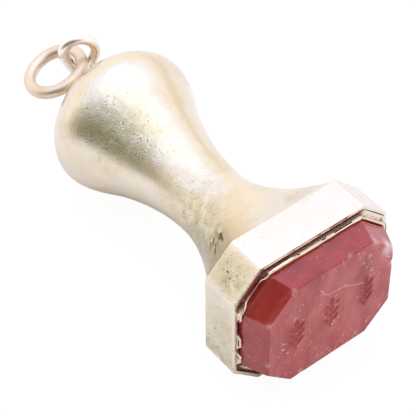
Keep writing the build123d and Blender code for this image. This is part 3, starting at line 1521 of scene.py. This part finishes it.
@dataclass(frozen=True)
class Pattern:
    """Soft noise of a real size, and what a finish keeps of it.

    Attributes:
        size: Width of one blotch of the noise, in mm.
        low: Noise at which a blotch starts, or on which a hairline runs.
        high: Noise at which a blotch is full, or how far from its level a hairline still shows.
        top: Value of a full blotch.
        detail: How many finer octaves the noise has.
        stretch: Frequency along the row's x, y and z, against that of the size.
        keep: What is kept of the noise.
    """

    size: float
    low: float = 0.0
    high: float = 1.0
    top: float = 1.0
    detail: float = 2.0
    stretch: tuple[float, float, float] = (1.0, 1.0, 1.0)
    keep: Keep = Keep.BLOTCHES


@dataclass(frozen=True)
class Layer:
    """One colour laid over those below it.

    Attributes:
        colour: Its sRGB hex colour.
        share: Socket that gives how much of it shows.
        strength: What that is multiplied by.
    """

    colour: str
    share: Socket
    strength: float = 1.0


class Surface:
    """A material being put together, with coordinates in millimetres."""

    def __init__(self, name: str) -> None:
        """Start a material.

        Args:
            name: The real material's name.
        """
        self.material = bpy.data.materials.new(name)
        self.material.use_nodes = True
        self.material.node_tree.nodes.clear()
        self.node = partial(add_node, self.material.node_tree)
        place = self.node("TexCoord", output="Object")
        self.mm = self.node("Mapping", {"Vector": place, "Scale": (1 / MM,) * 3})

    def lay(self, pattern: Pattern, share: Socket | None = None) -> Socket:
        """Lay a pattern over the surface.

        Blotches ease from 0 at the pattern's low level of noise to its top at the high level, and a
        hairline is 1 where the noise is close to the low level.

        Args:
            pattern: The pattern.
            share: What the noise is multiplied by first, from 0 to 1.

        Returns:
            The pattern's value at each place.
        """
        place = self.node("Mapping", {"Vector": self.mm, "Scale": pattern.stretch})
        inputs = {"Scale": 1 / pattern.size, "Detail": pattern.detail, "Roughness": OCTAVE_SHARE}
        value = self.node("TexNoise", {"Vector": place, **inputs})
        if share is not None:
            value = self.node("Math", {0: value, 1: share}, operation="MULTIPLY")
        if pattern.keep is Keep.HAIRLINES:
            inputs = {0: value, 1: pattern.low, 2: pattern.high}
            value = self.node("Math", inputs, operation="COMPARE")
        elif pattern.keep is Keep.BLOTCHES:
            levels = {"From Min": pattern.low, "From Max": pattern.high, "To Max": pattern.top}
            eased = {"interpolation_type": "SMOOTHSTEP"}
            value = self.node("MapRange", {"Value": value, **levels}, **eased)
        return value

    def paint(self, base: str, *layers: Layer) -> Socket:
        """Lay colours over a base colour, in order.

        Args:
            base: The base's sRGB hex colour.
            layers: What lies over it.

        Returns:
            The colour at each place.
        """
        colour = linear(base)
        for layer in layers:
            share = layer.share
            if layer.strength < 1:
                share = self.node("Math", {0: share, 1: layer.strength}, operation="MULTIPLY")
            inputs = {0: share, COLOUR_A: colour, COLOUR_B: linear(layer.colour)}
            colour = self.node("Mix", inputs, COLOUR_OUT, data_type="RGBA")
        return colour

    def finish(self, inputs: Mapping[str, object]) -> bpy.types.Material:
        """Close the material with one shader fed by those sockets and values."""
        self.node("OutputMaterial", {"Surface": self.node("BsdfPrincipled", inputs)})
        return self.material


@dataclass(frozen=True)
class WornGold:
    """Rolled gold, a thin skin of pale gold on brass, drawn and burnished by hand and then worn.

    Attributes:
        clean: Colour of the polished metal.
        warm: Colour of its warmer clouds.
        bare_and_highlight: Colour of burnished edges, and of the painted highlight on the case's
            upper face.
        rosy: Colour of the redder wire.
        tarnish: Colour of the greenish tarnish, also used for painted shade and painted warm light.
        dirt: Colour of dirt in the pits.
        crust: Colour of dirt packed in hollows.
        wear: Roughness of its dull clouds, against gloss elsewhere and crust_wear on packed dirt.
        pitting: How much of the whole surface has pits, from 0 to 1.
    """

    # What the eye sees of it: broad soft highlights with a warm, slightly rough edge, because the
    # polish is worn, a dull yellow-green tarnish with dark pits where hands don't rub, which also
    # stands for painted shade on the case's left side and painted warm light on the waist, brown
    # dirt in the hollows, paler, brighter metal on the edges that are rubbed clean, and a painted
    # highlight that makes the case's upper face paler.
    name: str
    clean: str = "#ECDFC7"
    warm: str = "#E8D6B8"
    bare_and_highlight: str = "#EFE4D0"
    rosy: str = "#FAF1E8"
    tarnish: str = "#C0BA88"
    dirt: str = "#3A3022"
    crust: str = "#6A5218"
    gloss: float = 0.2
    wear: float = 0.29
    crust_wear: float = 0.8
    crust_metal: float = 0.1
    pitting: float = 0.1
    # The bump's full height in mm, how much of it shows, and the shares of each mark in it. The
    # grain has one on clean metal and one that tarnish adds.
    relief: float = 0.045
    relief_strength: float = 0.55
    wave_height: float = 0.4
    grain_height: tuple[float, float] = (0.18, 1.3)
    pit_depth: float = 0.6
    scratch_depth: float = 0.1
    # Patches of about 3 mm, where handling has dulled the polish.
    clouds: Pattern = Pattern(3.2, 0.42, 0.68, detail=4.0)
    # The tarnish lies in spots of just under 1 mm.
    mottle: Pattern = Pattern(0.9, 0.3, 0.6, detail=5.0)
    # Real pits are 0.05 to 0.1 mm wide. They are drawn from noise of 0.24 mm, because a pixel of
    # the render is about 0.1 mm.
    specks: Pattern = Pattern(0.24, 0.62, 0.7)
    # Crumbs of packed dirt, about 0.4 mm.
    crumbs: Pattern = Pattern(0.4, 0.12, 0.46, detail=4.0)
    # Hairline scratches, a few mm long and mostly along the seal. Real ones are under 0.02 mm wide
    # and are drawn a little wider to show.
    hairlines: Pattern = Pattern(
        2.6, 0.5, 0.004, detail=1.0, stretch=(1.0, 0.45, 1.3), keep=Keep.HAIRLINES
    )
    # The etched grain under tarnish, really about 0.03 mm, drawn near a pixel's 0.1 mm to show.
    grain: Pattern = Pattern(0.13, 0.3, 0.7, top=0.7)
    # Slow waves left by the burnishing tool, about 0.7 mm long.
    waves: Pattern = Pattern(0.7, detail=3.0, keep=Keep.ALL)

    def make(self) -> bpy.types.Material:
        """Put the metal together: colours in layers, pits and scratches as a shallow bump.

        Returns:
            The material.
        """
        surface = Surface(self.name)
        node = surface.node
        grime, patina, burnish, rosy = (
            node("Attribute", output="Fac", attribute_name=mask.value)
            for mask in (Mask.GRIME, Mask.PATINA, Mask.BURNISH, Mask.ROSY)
        )
        clouds, crust = surface.lay(self.clouds), surface.lay(self.crumbs, grime)
        # The tarnish colour also lays painted shade and painted warm light where the patches stand
        # for them.
        mottle = {0: patina, 1: surface.lay(self.mottle)}
        film_and_painted_light = node("Math", mottle, operation="MULTIPLY")
        near = node("Math", {0: patina, 1: self.pitting}, operation="ADD", use_clamp=True)
        pits = node("Math", {0: surface.lay(self.specks), 1: near}, operation="MULTIPLY")
        colour = surface.paint(
            self.clean,
            Layer(self.warm, clouds),
            Layer(self.rosy, rosy),
            # Tarnish, and painted shade and painted warm light from the same patches.
            Layer(self.tarnish, film_and_painted_light),
            # Rubbed edges, and a painted highlight on the case's upper face.
            Layer(self.bare_and_highlight, burnish),
            Layer(self.dirt, pits),
            Layer(self.crust, crust),
        )

        dull = node("Math", {0: crust, 1: film_and_painted_light}, operation="MAXIMUM")
        dull = node("Math", {0: dull, 1: clouds}, operation="MAXIMUM")
        rough = node("Mix", {0: dull, NUMBER_A: self.gloss, NUMBER_B: self.wear})
        packed = node("Math", {0: crust, 1: self.crust_wear}, operation="MULTIPLY")
        rough = node("Math", {0: rough, 1: packed}, operation="MAXIMUM")

        clean_grain, tarnish_grain = self.grain_height
        grainy = {0: patina, 1: tarnish_grain, 2: clean_grain}
        grainy = node("Math", grainy, operation="MULTIPLY_ADD", use_clamp=True)
        relief = node("Math", {0: surface.lay(self.grain), 1: grainy}, operation="MULTIPLY")
        for share, height in (
            (surface.lay(self.waves), self.wave_height),
            (pits, -self.pit_depth),
            (surface.lay(self.hairlines), -self.scratch_depth),
        ):
            inputs = {0: share, 1: height, 2: relief}
            relief = node("Math", inputs, operation="MULTIPLY_ADD", use_clamp=True)
        bump = {"Height": relief, "Distance": self.relief * MM, "Strength": self.relief_strength}
        return surface.finish(
            {
                "Base Color": colour,
                "Metallic": node("Mix", {0: crust, NUMBER_A: 1.0, NUMBER_B: self.crust_metal}),
                "Roughness": rough,
                "Normal": node("Bump", bump),
            }
        )


@dataclass(frozen=True)
class Carnelian:
    """Carnelian, a clouded red chalcedony, cut and polished on a wheel, engraved and then worn.

    Attributes:
        deep: Colour of the stone's darker clouds.
        light: Colour of its lighter clouds.
        cut: Colour down in the engraving.
        worn: Colour where fine wear makes it hazy.
        chip: Colour of scratches and chips.
        wear: Roughness of the worn table, against gloss on the bevels.
    """

    # What the eye sees of it: deep red on the slanted bevels, which kept their polish, and a milky,
    # pinkish red on the table, whose fine wear scatters the light, with pale pecks and scratches
    # because broken quartz looks white, and a darker red again down in the engraving.
    name: str = "carnelian"
    deep: str = "#861817"
    light: str = "#B02D23"
    cut: str = "#A01213"
    worn: str = "#DD7C71"
    chip: str = "#F0CCC4"
    gloss: float = 0.14
    wear: float = 0.34
    ior: float = 1.54
    # How much of each mark's colour shows.
    cut_strength: float = 0.9
    scrape_strength: float = 0.6
    mark_strength: float = 0.8
    scratch_strength: float = 0.5
    chip_strength: float = 0.65
    # The bump's full height in mm, how much of it shows, and the marks' share of it.
    relief: float = 0.02
    relief_strength: float = 0.3
    mark_depth: float = 0.4
    # Clouds of 2 to 3 mm in the stone.
    clouds: Pattern = Pattern(2.4, 0.2, 0.85, detail=4.0)
    # The haze of wear, in patches of 1 to 2 mm that run up the stone.
    haze: Pattern = Pattern(1.6, 0.15, 0.85, top=0.5, detail=5.0, stretch=(1.0, 1.0, 0.4))
    # Two sets of hairline scratches, a few mm long and across each other. Real ones are about
    # 0.01 mm wide and are drawn a little wider to show.
    scrapes: tuple[Pattern, Pattern] = (
        Pattern(2.7, 0.5, 0.0022, detail=1.0, stretch=(1.0, 1.0, 0.35), keep=Keep.HAIRLINES),
        Pattern(2.2, 0.5, 0.002, detail=1.0, stretch=(0.3, 1.0, 1.1), keep=Keep.HAIRLINES),
    )
    # They break off in pieces of about 1 mm.
    pieces: Pattern = Pattern(0.9, 0.54, 0.6)
    # Real pecks are 0.05 to 0.2 mm wide. They are drawn from noise of 0.3 mm, because a pixel of
    # the render is about 0.1 mm.
    specks: Pattern = Pattern(0.3, 0.66, 0.71)
    # They lie in groups of about 2 mm.
    groups: Pattern = Pattern(2.0, 0.44, 0.56)
    # Slow waves left by the polishing wheel, about 0.9 mm long.
    waves: Pattern = Pattern(0.9, detail=4.0, keep=Keep.ALL)

    def make(self) -> bpy.types.Material:
        """Put the stone together: red clouds and haze under scratches, with an uneven gloss.

        Returns:
            The material.
        """
        surface = Surface(self.name)
        node = surface.node
        worn, engraved, scratch, chipped = (
            node("Attribute", output="Fac", attribute_name=mask.value)
            for mask in (Mask.WORN, Mask.ENGRAVED, Mask.SCRATCH, Mask.CHIPPED)
        )
        clouds = surface.lay(self.clouds)
        haze = node("Math", {0: surface.lay(self.haze), 1: worn}, operation="MULTIPLY")
        first, second = (surface.lay(scrape) for scrape in self.scrapes)
        scraped = node("Math", {0: first, 1: second}, operation="MAXIMUM")
        scraped = node("Math", {0: scraped, 1: self.scrape_strength}, operation="MULTIPLY")
        scraped = node("Math", {0: scraped, 1: surface.lay(self.pieces)}, operation="MULTIPLY")
        specks = {0: surface.lay(self.specks), 1: surface.lay(self.groups)}
        specks = node("Math", specks, operation="MULTIPLY")
        marks = node("Math", {0: scraped, 1: specks}, operation="MAXIMUM")
        marks = node("Math", {0: marks, 1: worn}, operation="MULTIPLY")
        colour = surface.paint(
            self.deep,
            Layer(self.light, clouds),
            Layer(self.worn, haze),
            Layer(self.cut, engraved, self.cut_strength),
            Layer(self.chip, marks, self.mark_strength),
            Layer(self.chip, scratch, self.scratch_strength),
            Layer(self.chip, chipped, self.chip_strength),
        )
        relief = {0: marks, 1: -self.mark_depth, 2: surface.lay(self.waves)}
        relief = node("Math", relief, operation="MULTIPLY_ADD", use_clamp=True)
        bump = {"Height": relief, "Distance": self.relief * MM, "Strength": self.relief_strength}
        return surface.finish(
            {
                "Base Color": colour,
                "Roughness": node("Mix", {0: worn, NUMBER_A: self.gloss, NUMBER_B: self.wear}),
                "IOR": self.ior,
                "Normal": node("Bump", bump),
            }
        )


@dataclass(frozen=True)
class PhotoCamera:
    """The camera at the photograph's place in the row frame.

    Place, lens and sensor are in mm, the shift in shares of the picture's width, and reach is the
    nearest and farthest distance that it sees, in m.
    """

    place: tuple[float, float, float] = (-68.614, -91.471, 126.643)
    forward: tuple[float, float, float] = (0.41495, 0.54177, -0.73096)
    upward: tuple[float, float, float] = (0.45611, 0.57129, 0.68234)
    lens: float = 147.1
    sensor: float = 36.0
    shift: tuple[float, float] = (0.0305, -0.0171)
    reach: tuple[float, float] = (0.01, 10.0)

    def build(self) -> None:
        """Make the camera and let the scene look through it."""
        data = bpy.data.cameras.new("photo_camera")
        data.lens = self.lens
        data.sensor_width = self.sensor
        data.shift_x, data.shift_y = self.shift
        data.clip_start, data.clip_end = self.reach
        camera = bpy.data.objects.new("photo_camera", data)
        bpy.context.scene.collection.objects.link(camera)
        back = -Vector(self.forward).normalized()
        up = (Vector(self.upward) - back * back.dot(Vector(self.upward))).normalized()
        turn = Matrix((up.cross(back), up, back)).transposed()
        camera.matrix_world = Matrix.Translation(Vector(self.place) * MM) @ turn.to_4x4()
        bpy.context.scene.camera = camera


@dataclass(frozen=True)
class Studio:
    """A white tent that is open on one side to a dim room, with a soft light overhead.

    Turns are in degrees from the row's -y toward its x, and heights in the tent are sines of the
    angle over the floor. The light's power is in watts, and lengths are in m.

    Attributes:
        tent_low: Brightness of the tent low down, in red, green and blue.
        tent_high: Brightness high up, where daylight comes through.
        tent_rise: Heights between which it changes.
        opening: Turn of the opening's middle.
        opening_reach: Angles from its middle where the room is dimmest and where the tent is whole.
        fold: Turn of the dimmer fold low in the tent.
        fold_reach: Cosines of the angles from its middle where it starts and where it is full.
        fold_heights: Heights between which it fades in, and between which it fades in from above.
        sheet_glow: Brightness of the sheet as the camera sees it.
        sheet_share: Share of that brightness against its own shading.
        sheet_reach: How far the sheet runs toward the opening, away from it and to each side.
        sheet_drop: How far it lies under the seal.
    """

    tent_low: tuple[float, float, float] = (1.17, 1.14, 1.13)
    tent_high: tuple[float, float, float] = (1.16, 1.24, 1.6)
    tent_rise: tuple[float, float] = (0.4, 0.72)
    room: str = "#87866F"
    opening: float = -60.0
    opening_reach: tuple[float, float] = (28.0, 69.0)
    fold: float = 97.0
    fold_colour: str = "#8A8478"
    fold_strength: float = 0.3
    fold_reach: tuple[float, float] = (0.82, 0.92)
    fold_heights: tuple[tuple[float, float], ...] = ((0.08, 0.14), (0.36, 0.28))
    overhead: float = 0.15
    overhead_size: float = 0.42
    overhead_colour: tuple[float, float, float] = (0.95, 0.98, 1.0)
    overhead_place: tuple[float, float, float] = (0.085, -0.005, 0.36)
    sheet: str = "#F8F5EF"
    sheet_glow: float = 1.03
    sheet_share: float = 0.92
    sheet_reach: tuple[float, float, float] = (0.14, 0.8, 0.6)
    sheet_drop: float = 0.00002

    def build(self) -> None:
        """Make the world, the light and the floor."""
        bpy.context.scene.view_settings.view_transform = "Standard"
        self.light_tent()
        self.light_overhead()
        self.lay_floor()

    def toward(self, turn: float) -> tuple[float, float, float]:
        """Give the level direction at a turn."""
        return math.sin(math.radians(turn)), -math.cos(math.radians(turn)), 0.0

    def light_tent(self) -> None:
        """Fill the world with the tent, its fold and its opening, and show it plain white."""
        world = bpy.data.worlds.new("tent")
        world.use_nodes = True
        bpy.context.scene.world = world
        world.node_tree.nodes.clear()
        node = partial(add_node, world.node_tree)
        place = node("TexCoord", output="Generated")
        height = node("SeparateXYZ", {0: place}, "Z")
        to_fold, to_opening = (
            node("VectorMath", {0: place, 1: self.toward(turn)}, "Value", operation="DOT_PRODUCT")
            for turn in (self.fold, self.opening)
        )
        dimmest, whole = (math.cos(math.radians(angle)) for angle in self.opening_reach)
        eases = (
            (height, self.tent_rise, 1.0),
            (to_fold, self.fold_reach, self.fold_strength),
            (height, self.fold_heights[0], 1.0),
            (height, self.fold_heights[1], 1.0),
            (to_opening, (whole, dimmest), 1.0),
        )
        high, fold, over_foot, under_top, opened = (
            node(
                "MapRange",
                {"Value": value, "From Min": start, "From Max": end, "To Max": top},
                interpolation_type="SMOOTHSTEP",
            )
            for value, (start, end), top in eases
        )
        for share in (over_foot, under_top):
            fold = node("Math", {0: fold, 1: share}, operation="MULTIPLY")
        colour = (*self.tent_low, 1.0)
        for share, over in (
            (high, (*self.tent_high, 1.0)),
            (fold, linear(self.fold_colour)),
            (opened, linear(self.room)),
        ):
            inputs = {0: share, COLOUR_A: colour, COLOUR_B: over}
            colour = node("Mix", inputs, COLOUR_OUT, data_type="RGBA")
        lit = node("Background", {"Color": colour})
        plain = node("Background", {"Color": WHITE})
        seen = node("LightPath", output="Is Camera Ray")
        node("OutputWorld", {"Surface": node("MixShader", {0: seen, 1: lit, 2: plain})})

    def light_overhead(self) -> None:
        """Hang the soft light."""
        data = bpy.data.lights.new("soft_light", "AREA")
        data.shape = "DISK"
        data.size = self.overhead_size
        data.energy = self.overhead
        data.color = self.overhead_colour
        light = bpy.data.objects.new("soft_light", data)
        light.location = self.overhead_place
        bpy.context.scene.collection.objects.link(light)

    def lay_floor(self) -> None:
        """Lay the white sheet, with one edge toward the opening."""
        ahead, away, side = self.sheet_reach
        toward = np.array(self.toward(self.opening))
        across = np.array(self.toward(self.opening + 90.0))
        reach = ((ahead, -side), (ahead, side), (-away, side), (-away, -side))
        corners = [tuple(toward * x + across * y - [0, 0, self.sheet_drop]) for x, y in reach]
        mesh = bpy.data.meshes.new("floor")
        mesh.from_pydata(corners, [], [(0, 1, 2, 3)])
        floor = bpy.data.objects.new("floor", mesh)
        bpy.context.scene.collection.objects.link(floor)
        sheet = bpy.data.materials.new("white_sheet")
        sheet.use_nodes = True
        sheet.node_tree.nodes.clear()
        node = partial(add_node, sheet.node_tree)
        paper = node("BsdfDiffuse", {"Color": linear(self.sheet)})
        white = node("Emission", {"Strength": self.sheet_glow})
        seen = node("LightPath", output="Is Camera Ray")
        share = node("Math", {0: seen, 1: self.sheet_share}, operation="MULTIPLY")
        node("OutputMaterial", {"Surface": node("MixShader", {0: share, 1: paper, 2: white})})
        mesh.materials.append(sheet)


@dataclass(frozen=True)
class Piece:
    """What the scene hands over for one node of the model.

    Attributes:
        obj: The piece's object.
        node: The node that it stands for.
        slot: The record's material slot named for the piece; it is not used.
        material: Its material.
    """

    obj: bpy.types.Object
    node: str
    slot: str
    material: bpy.types.Material

    def dress(self) -> None:
        """Give the piece its material, hang it on the body and let it stand for its node."""
        self.obj.data.materials.append(self.material)
        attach(self.obj, BODY)
        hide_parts(self.node)
        LOG.info("%s: %d faces for node %s", self.obj.name, len(self.obj.data.polygons), self.node)


def make_body(case: Case, handle: Handle, eye: Eye) -> SealBody:
    """Set out the body with the dents, creases and tarnish that it shows, and its painted shade and
    light.

    Args:
        case: The stone's box.
        handle: The hollow handle.
        eye: The eye and its shank.

    Returns:
        The body.
    """
    return SealBody(
        case=case,
        handle=handle,
        eye=eye,
        dents=(
            Dent((-4.54, 4.39, -7.67), 0.5, 0.10),
            Dent((-4.08, 3.48, -9.13), 0.5, 0.08),
            Dent((-8.9, 1.9, -2.7), 1.3, 0.03),
            Dent((-9.0, -3.9, -2.7), 1.1, 0.03),
        ),
        pits=(
            Dent((-4.81, 3.78, -24.24), 0.18, 0.08),
            Dent((-6.02, 1.54, -24.4), 0.15, 0.06),
            Dent((-5.79, 0.7, -23.7), 0.15, 0.06),
            Dent((-6.23, 0.76, -24.51), 0.12, 0.05),
            Dent((-7.59, -0.27, -27.23), 0.13, 0.05),
            Dent((-7.57, 0.45, -27.18), 0.13, 0.05),
            Dent((-3.6, 1.2, -14.2), 0.14, 0.05),
            Dent((-3.75, 0.4, -13.4), 0.13, 0.05),
            Dent((-8.2, 5.5, -2.2), 0.14, 0.05),
            Dent((-7.2, 6.6, -3.2), 0.16, 0.05),
            Dent((-9.0, 1.4, -3.4), 0.16, 0.05),
            Dent((-9.0, 2.6, -2.4), 0.13, 0.05),
        ),
        creases=(
            Crease((-4.08, 3.6, -9.4), (-4.9, 4.5, -7.3), 0.26, 0.10),
            Crease((-4.6, 3.6, -8.4), (-5.3, 3.5, -7.7), 0.2, 0.07),
            Crease((-5.1, 3.9, -7.6), (-6.7, 4.6, -5.7), 0.2, 0.05),
            Crease((-4.3, 4.3, -8.0), (-5.2, 5.2, -6.4), 0.22, 0.06),
            Crease((-4.9, 3.1, -8.6), (-5.9, 3.2, -6.9), 0.15, 0.04),
            Crease((-4.75, 4.05, -7.6), (-6.1, 4.9, -5.6), 0.18, 0.05),
            Crease((-4.6, 4.6, -7.2), (-5.5, 5.5, -5.5), 0.16, 0.05),
        ),
        wrinkles=(
            Crease((-8.95, 4.8, -4.0), (-8.95, 4.8, -0.5), 0.12, 0.03),
            Crease((-2.02, 7.46, -28.27), (-0.44, 7.72, -28.29), 0.3, 0.02),
            Crease((-0.44, 7.72, -28.29), (0.89, 7.49, -27.01), 0.28, 0.025),
            Crease((0.89, 7.49, -27.01), (1.9, 7.22, -26.75), 0.28, 0.025),
            Crease((1.9, 7.22, -26.75), (4.19, 6.37, -27.4), 0.3, 0.02),
        ),
        patina=(
            # Tarnish that also paints warmer light on the waist's lower side.
            Dent((-3.2, 2.2, -13.8), 3.2, 0.45),
            Dent((-3.8, 2.0, -11.0), 2.6, 0.55),
            Dent((-5.4, 3.6, -7.4), 2.2, 0.7),
            Dent((-7.6, 5.8, -2.6), 1.6, 0.75),
            Dent((-8.0, 6.0, -0.9), 1.4, 0.5),
            Dent((-4.2, 5.6, -25.6), 3.0, 0.45),
            Dent((-3.2, 4.9, -22.8), 2.8, 0.4),
            Dent((-2.6, 4.2, -20.6), 2.4, 0.3),
            # These two are painted shade on the case's left short side, with a greenish tarnish
            # tint.
            Dent((-9.0, -5.4, -2.4), 3.2, 1.0),
            Dent((-9.0, 1.0, -1.6), 2.2, 0.4),
            Dent((2.6, 6.2, -5.4), 2.0, 0.3),
        ),
        worn_corner=Dent((8.0, 5.6, 0.0), 1.6, 0.12),
    )


def make_bezel(case: Case, stone: Stone) -> Bezel:
    """Set out the bezel with its broken and bent stretches.

    Args:
        case: The box that its foot lies in.
        stone: The stone that its lip goes round.

    Returns:
        The bezel.
    """
    return Bezel(
        stone.track(),
        case.track().inside(case.wall + POCKET_GAP),
        notches=(
            Notch((-8.4, 1.4), 1.3, 0.6, 0.0),
            Notch((-8.4, -1.6), 0.8, 0.45, 0.1),
            Notch((-8.4, -3.6), 0.6, 0.5, 0.0),
            Notch((-6.9, 5.4), 1.7, 0.4, 0.0),
            Notch((-3.6, 6.7), 1.5, -0.05, 0.25),
            Notch((7.6, 5.2), 3.0, 0.12, 0.0, 1.0),
        ),
        stains=(Dent((8.3, 4.2, 0.0), 0.22, 1.2), Dent((7.2, 5.5, 0.0), 0.16, 0.6)),
    )


def make_stone() -> Stone:
    """Set out the stone with its chips and its long scratch.

    Returns:
        The stone.
    """
    # Place in u and v, radius and depth of each chip, in mm. All lie at the table's height.
    chips = (
        (6.9, 3.9, 0.8, 0.16),
        (5.4, 6.0, 0.6, 0.10),
        (7.25, 1.6, 0.35, 0.08),
        (-7.3, 3.4, 0.3, 0.07),
        (-4.6, 6.3, 0.28, 0.06),
        (1.9, 6.3, 0.25, 0.06),
        (-7.3, -2.2, 0.28, 0.06),
        (0.52, 0.62, 0.17, 0.1),
        (4.74, -4.91, 0.17, 0.1),
        (1.87, -4.75, 0.14, 0.1),
        (4.41, 4.54, 0.22, 0.08),
        (4.72, 2.4, 0.15, 0.1),
        (-4.26, 2.16, 0.24, 0.08),
        (-3.3, -6.0, 0.25, 0.08),
        (-1.6, -3.94, 0.13, 0.08),
        (-0.61, -0.37, 0.12, 0.08),
        (-5.67, -0.28, 0.12, 0.07),
        (3.44, -5.6, 0.16, 0.07),
    )
    return Stone(
        chips=tuple(
            Dent((u, v, Stone.table_height), radius, depth) for u, v, radius, depth in chips
        ),
        hairline=(
            (-1.34, 3.96),
            (-1.05, 3.25),
            (-0.45, 2.78),
            (0.5, 2.72),
            (1.5, 2.5),
            (2.3, 2.05),
            (3.1, 1.6),
            (3.85, 1.23),
        ),
    )


def main() -> None:
    """Build the seal piece by piece, then the studio and the camera."""
    logging.basicConfig(level=logging.INFO, format="%(name)s %(message)s")
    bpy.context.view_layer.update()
    case, handle, eye, stone = Case(), Handle(), Eye(), make_stone()
    placement = Placement.from_record(frame["record"], stone.table_height, FACE_LIFT)
    bezel_gold = WornGold("bezel_gold", crust="#8E3C34", gloss=0.24, wear=0.36, pitting=0.2)
    rose_gold = WornGold(
        "rose_gold", clean="#E8D6BE", warm="#E2C9AD", gloss=0.36, wear=0.44, pitting=0.12
    )
    body = make_body(case, handle, eye).build(placement)
    bezel = make_bezel(case, stone).build(placement)
    cut_stone = stone.build(placement)
    ring = JumpRing().build(handle.crown_top(), placement)
    pieces = (
        Piece(body, "seal_body", "rolled_gold", WornGold("rolled_gold").make()),
        Piece(bezel, "bezel", "bezel_gold", bezel_gold.make()),
        Piece(cut_stone, "seal_stone", "carnelian", Carnelian().make()),
        Piece(ring, "jump_ring", "rose_gold", rose_gold.make()),
    )
    for piece in pieces:
        piece.dress()
    Studio().build()
    PhotoCamera().build()


if __name__ == "__main__":
    main()
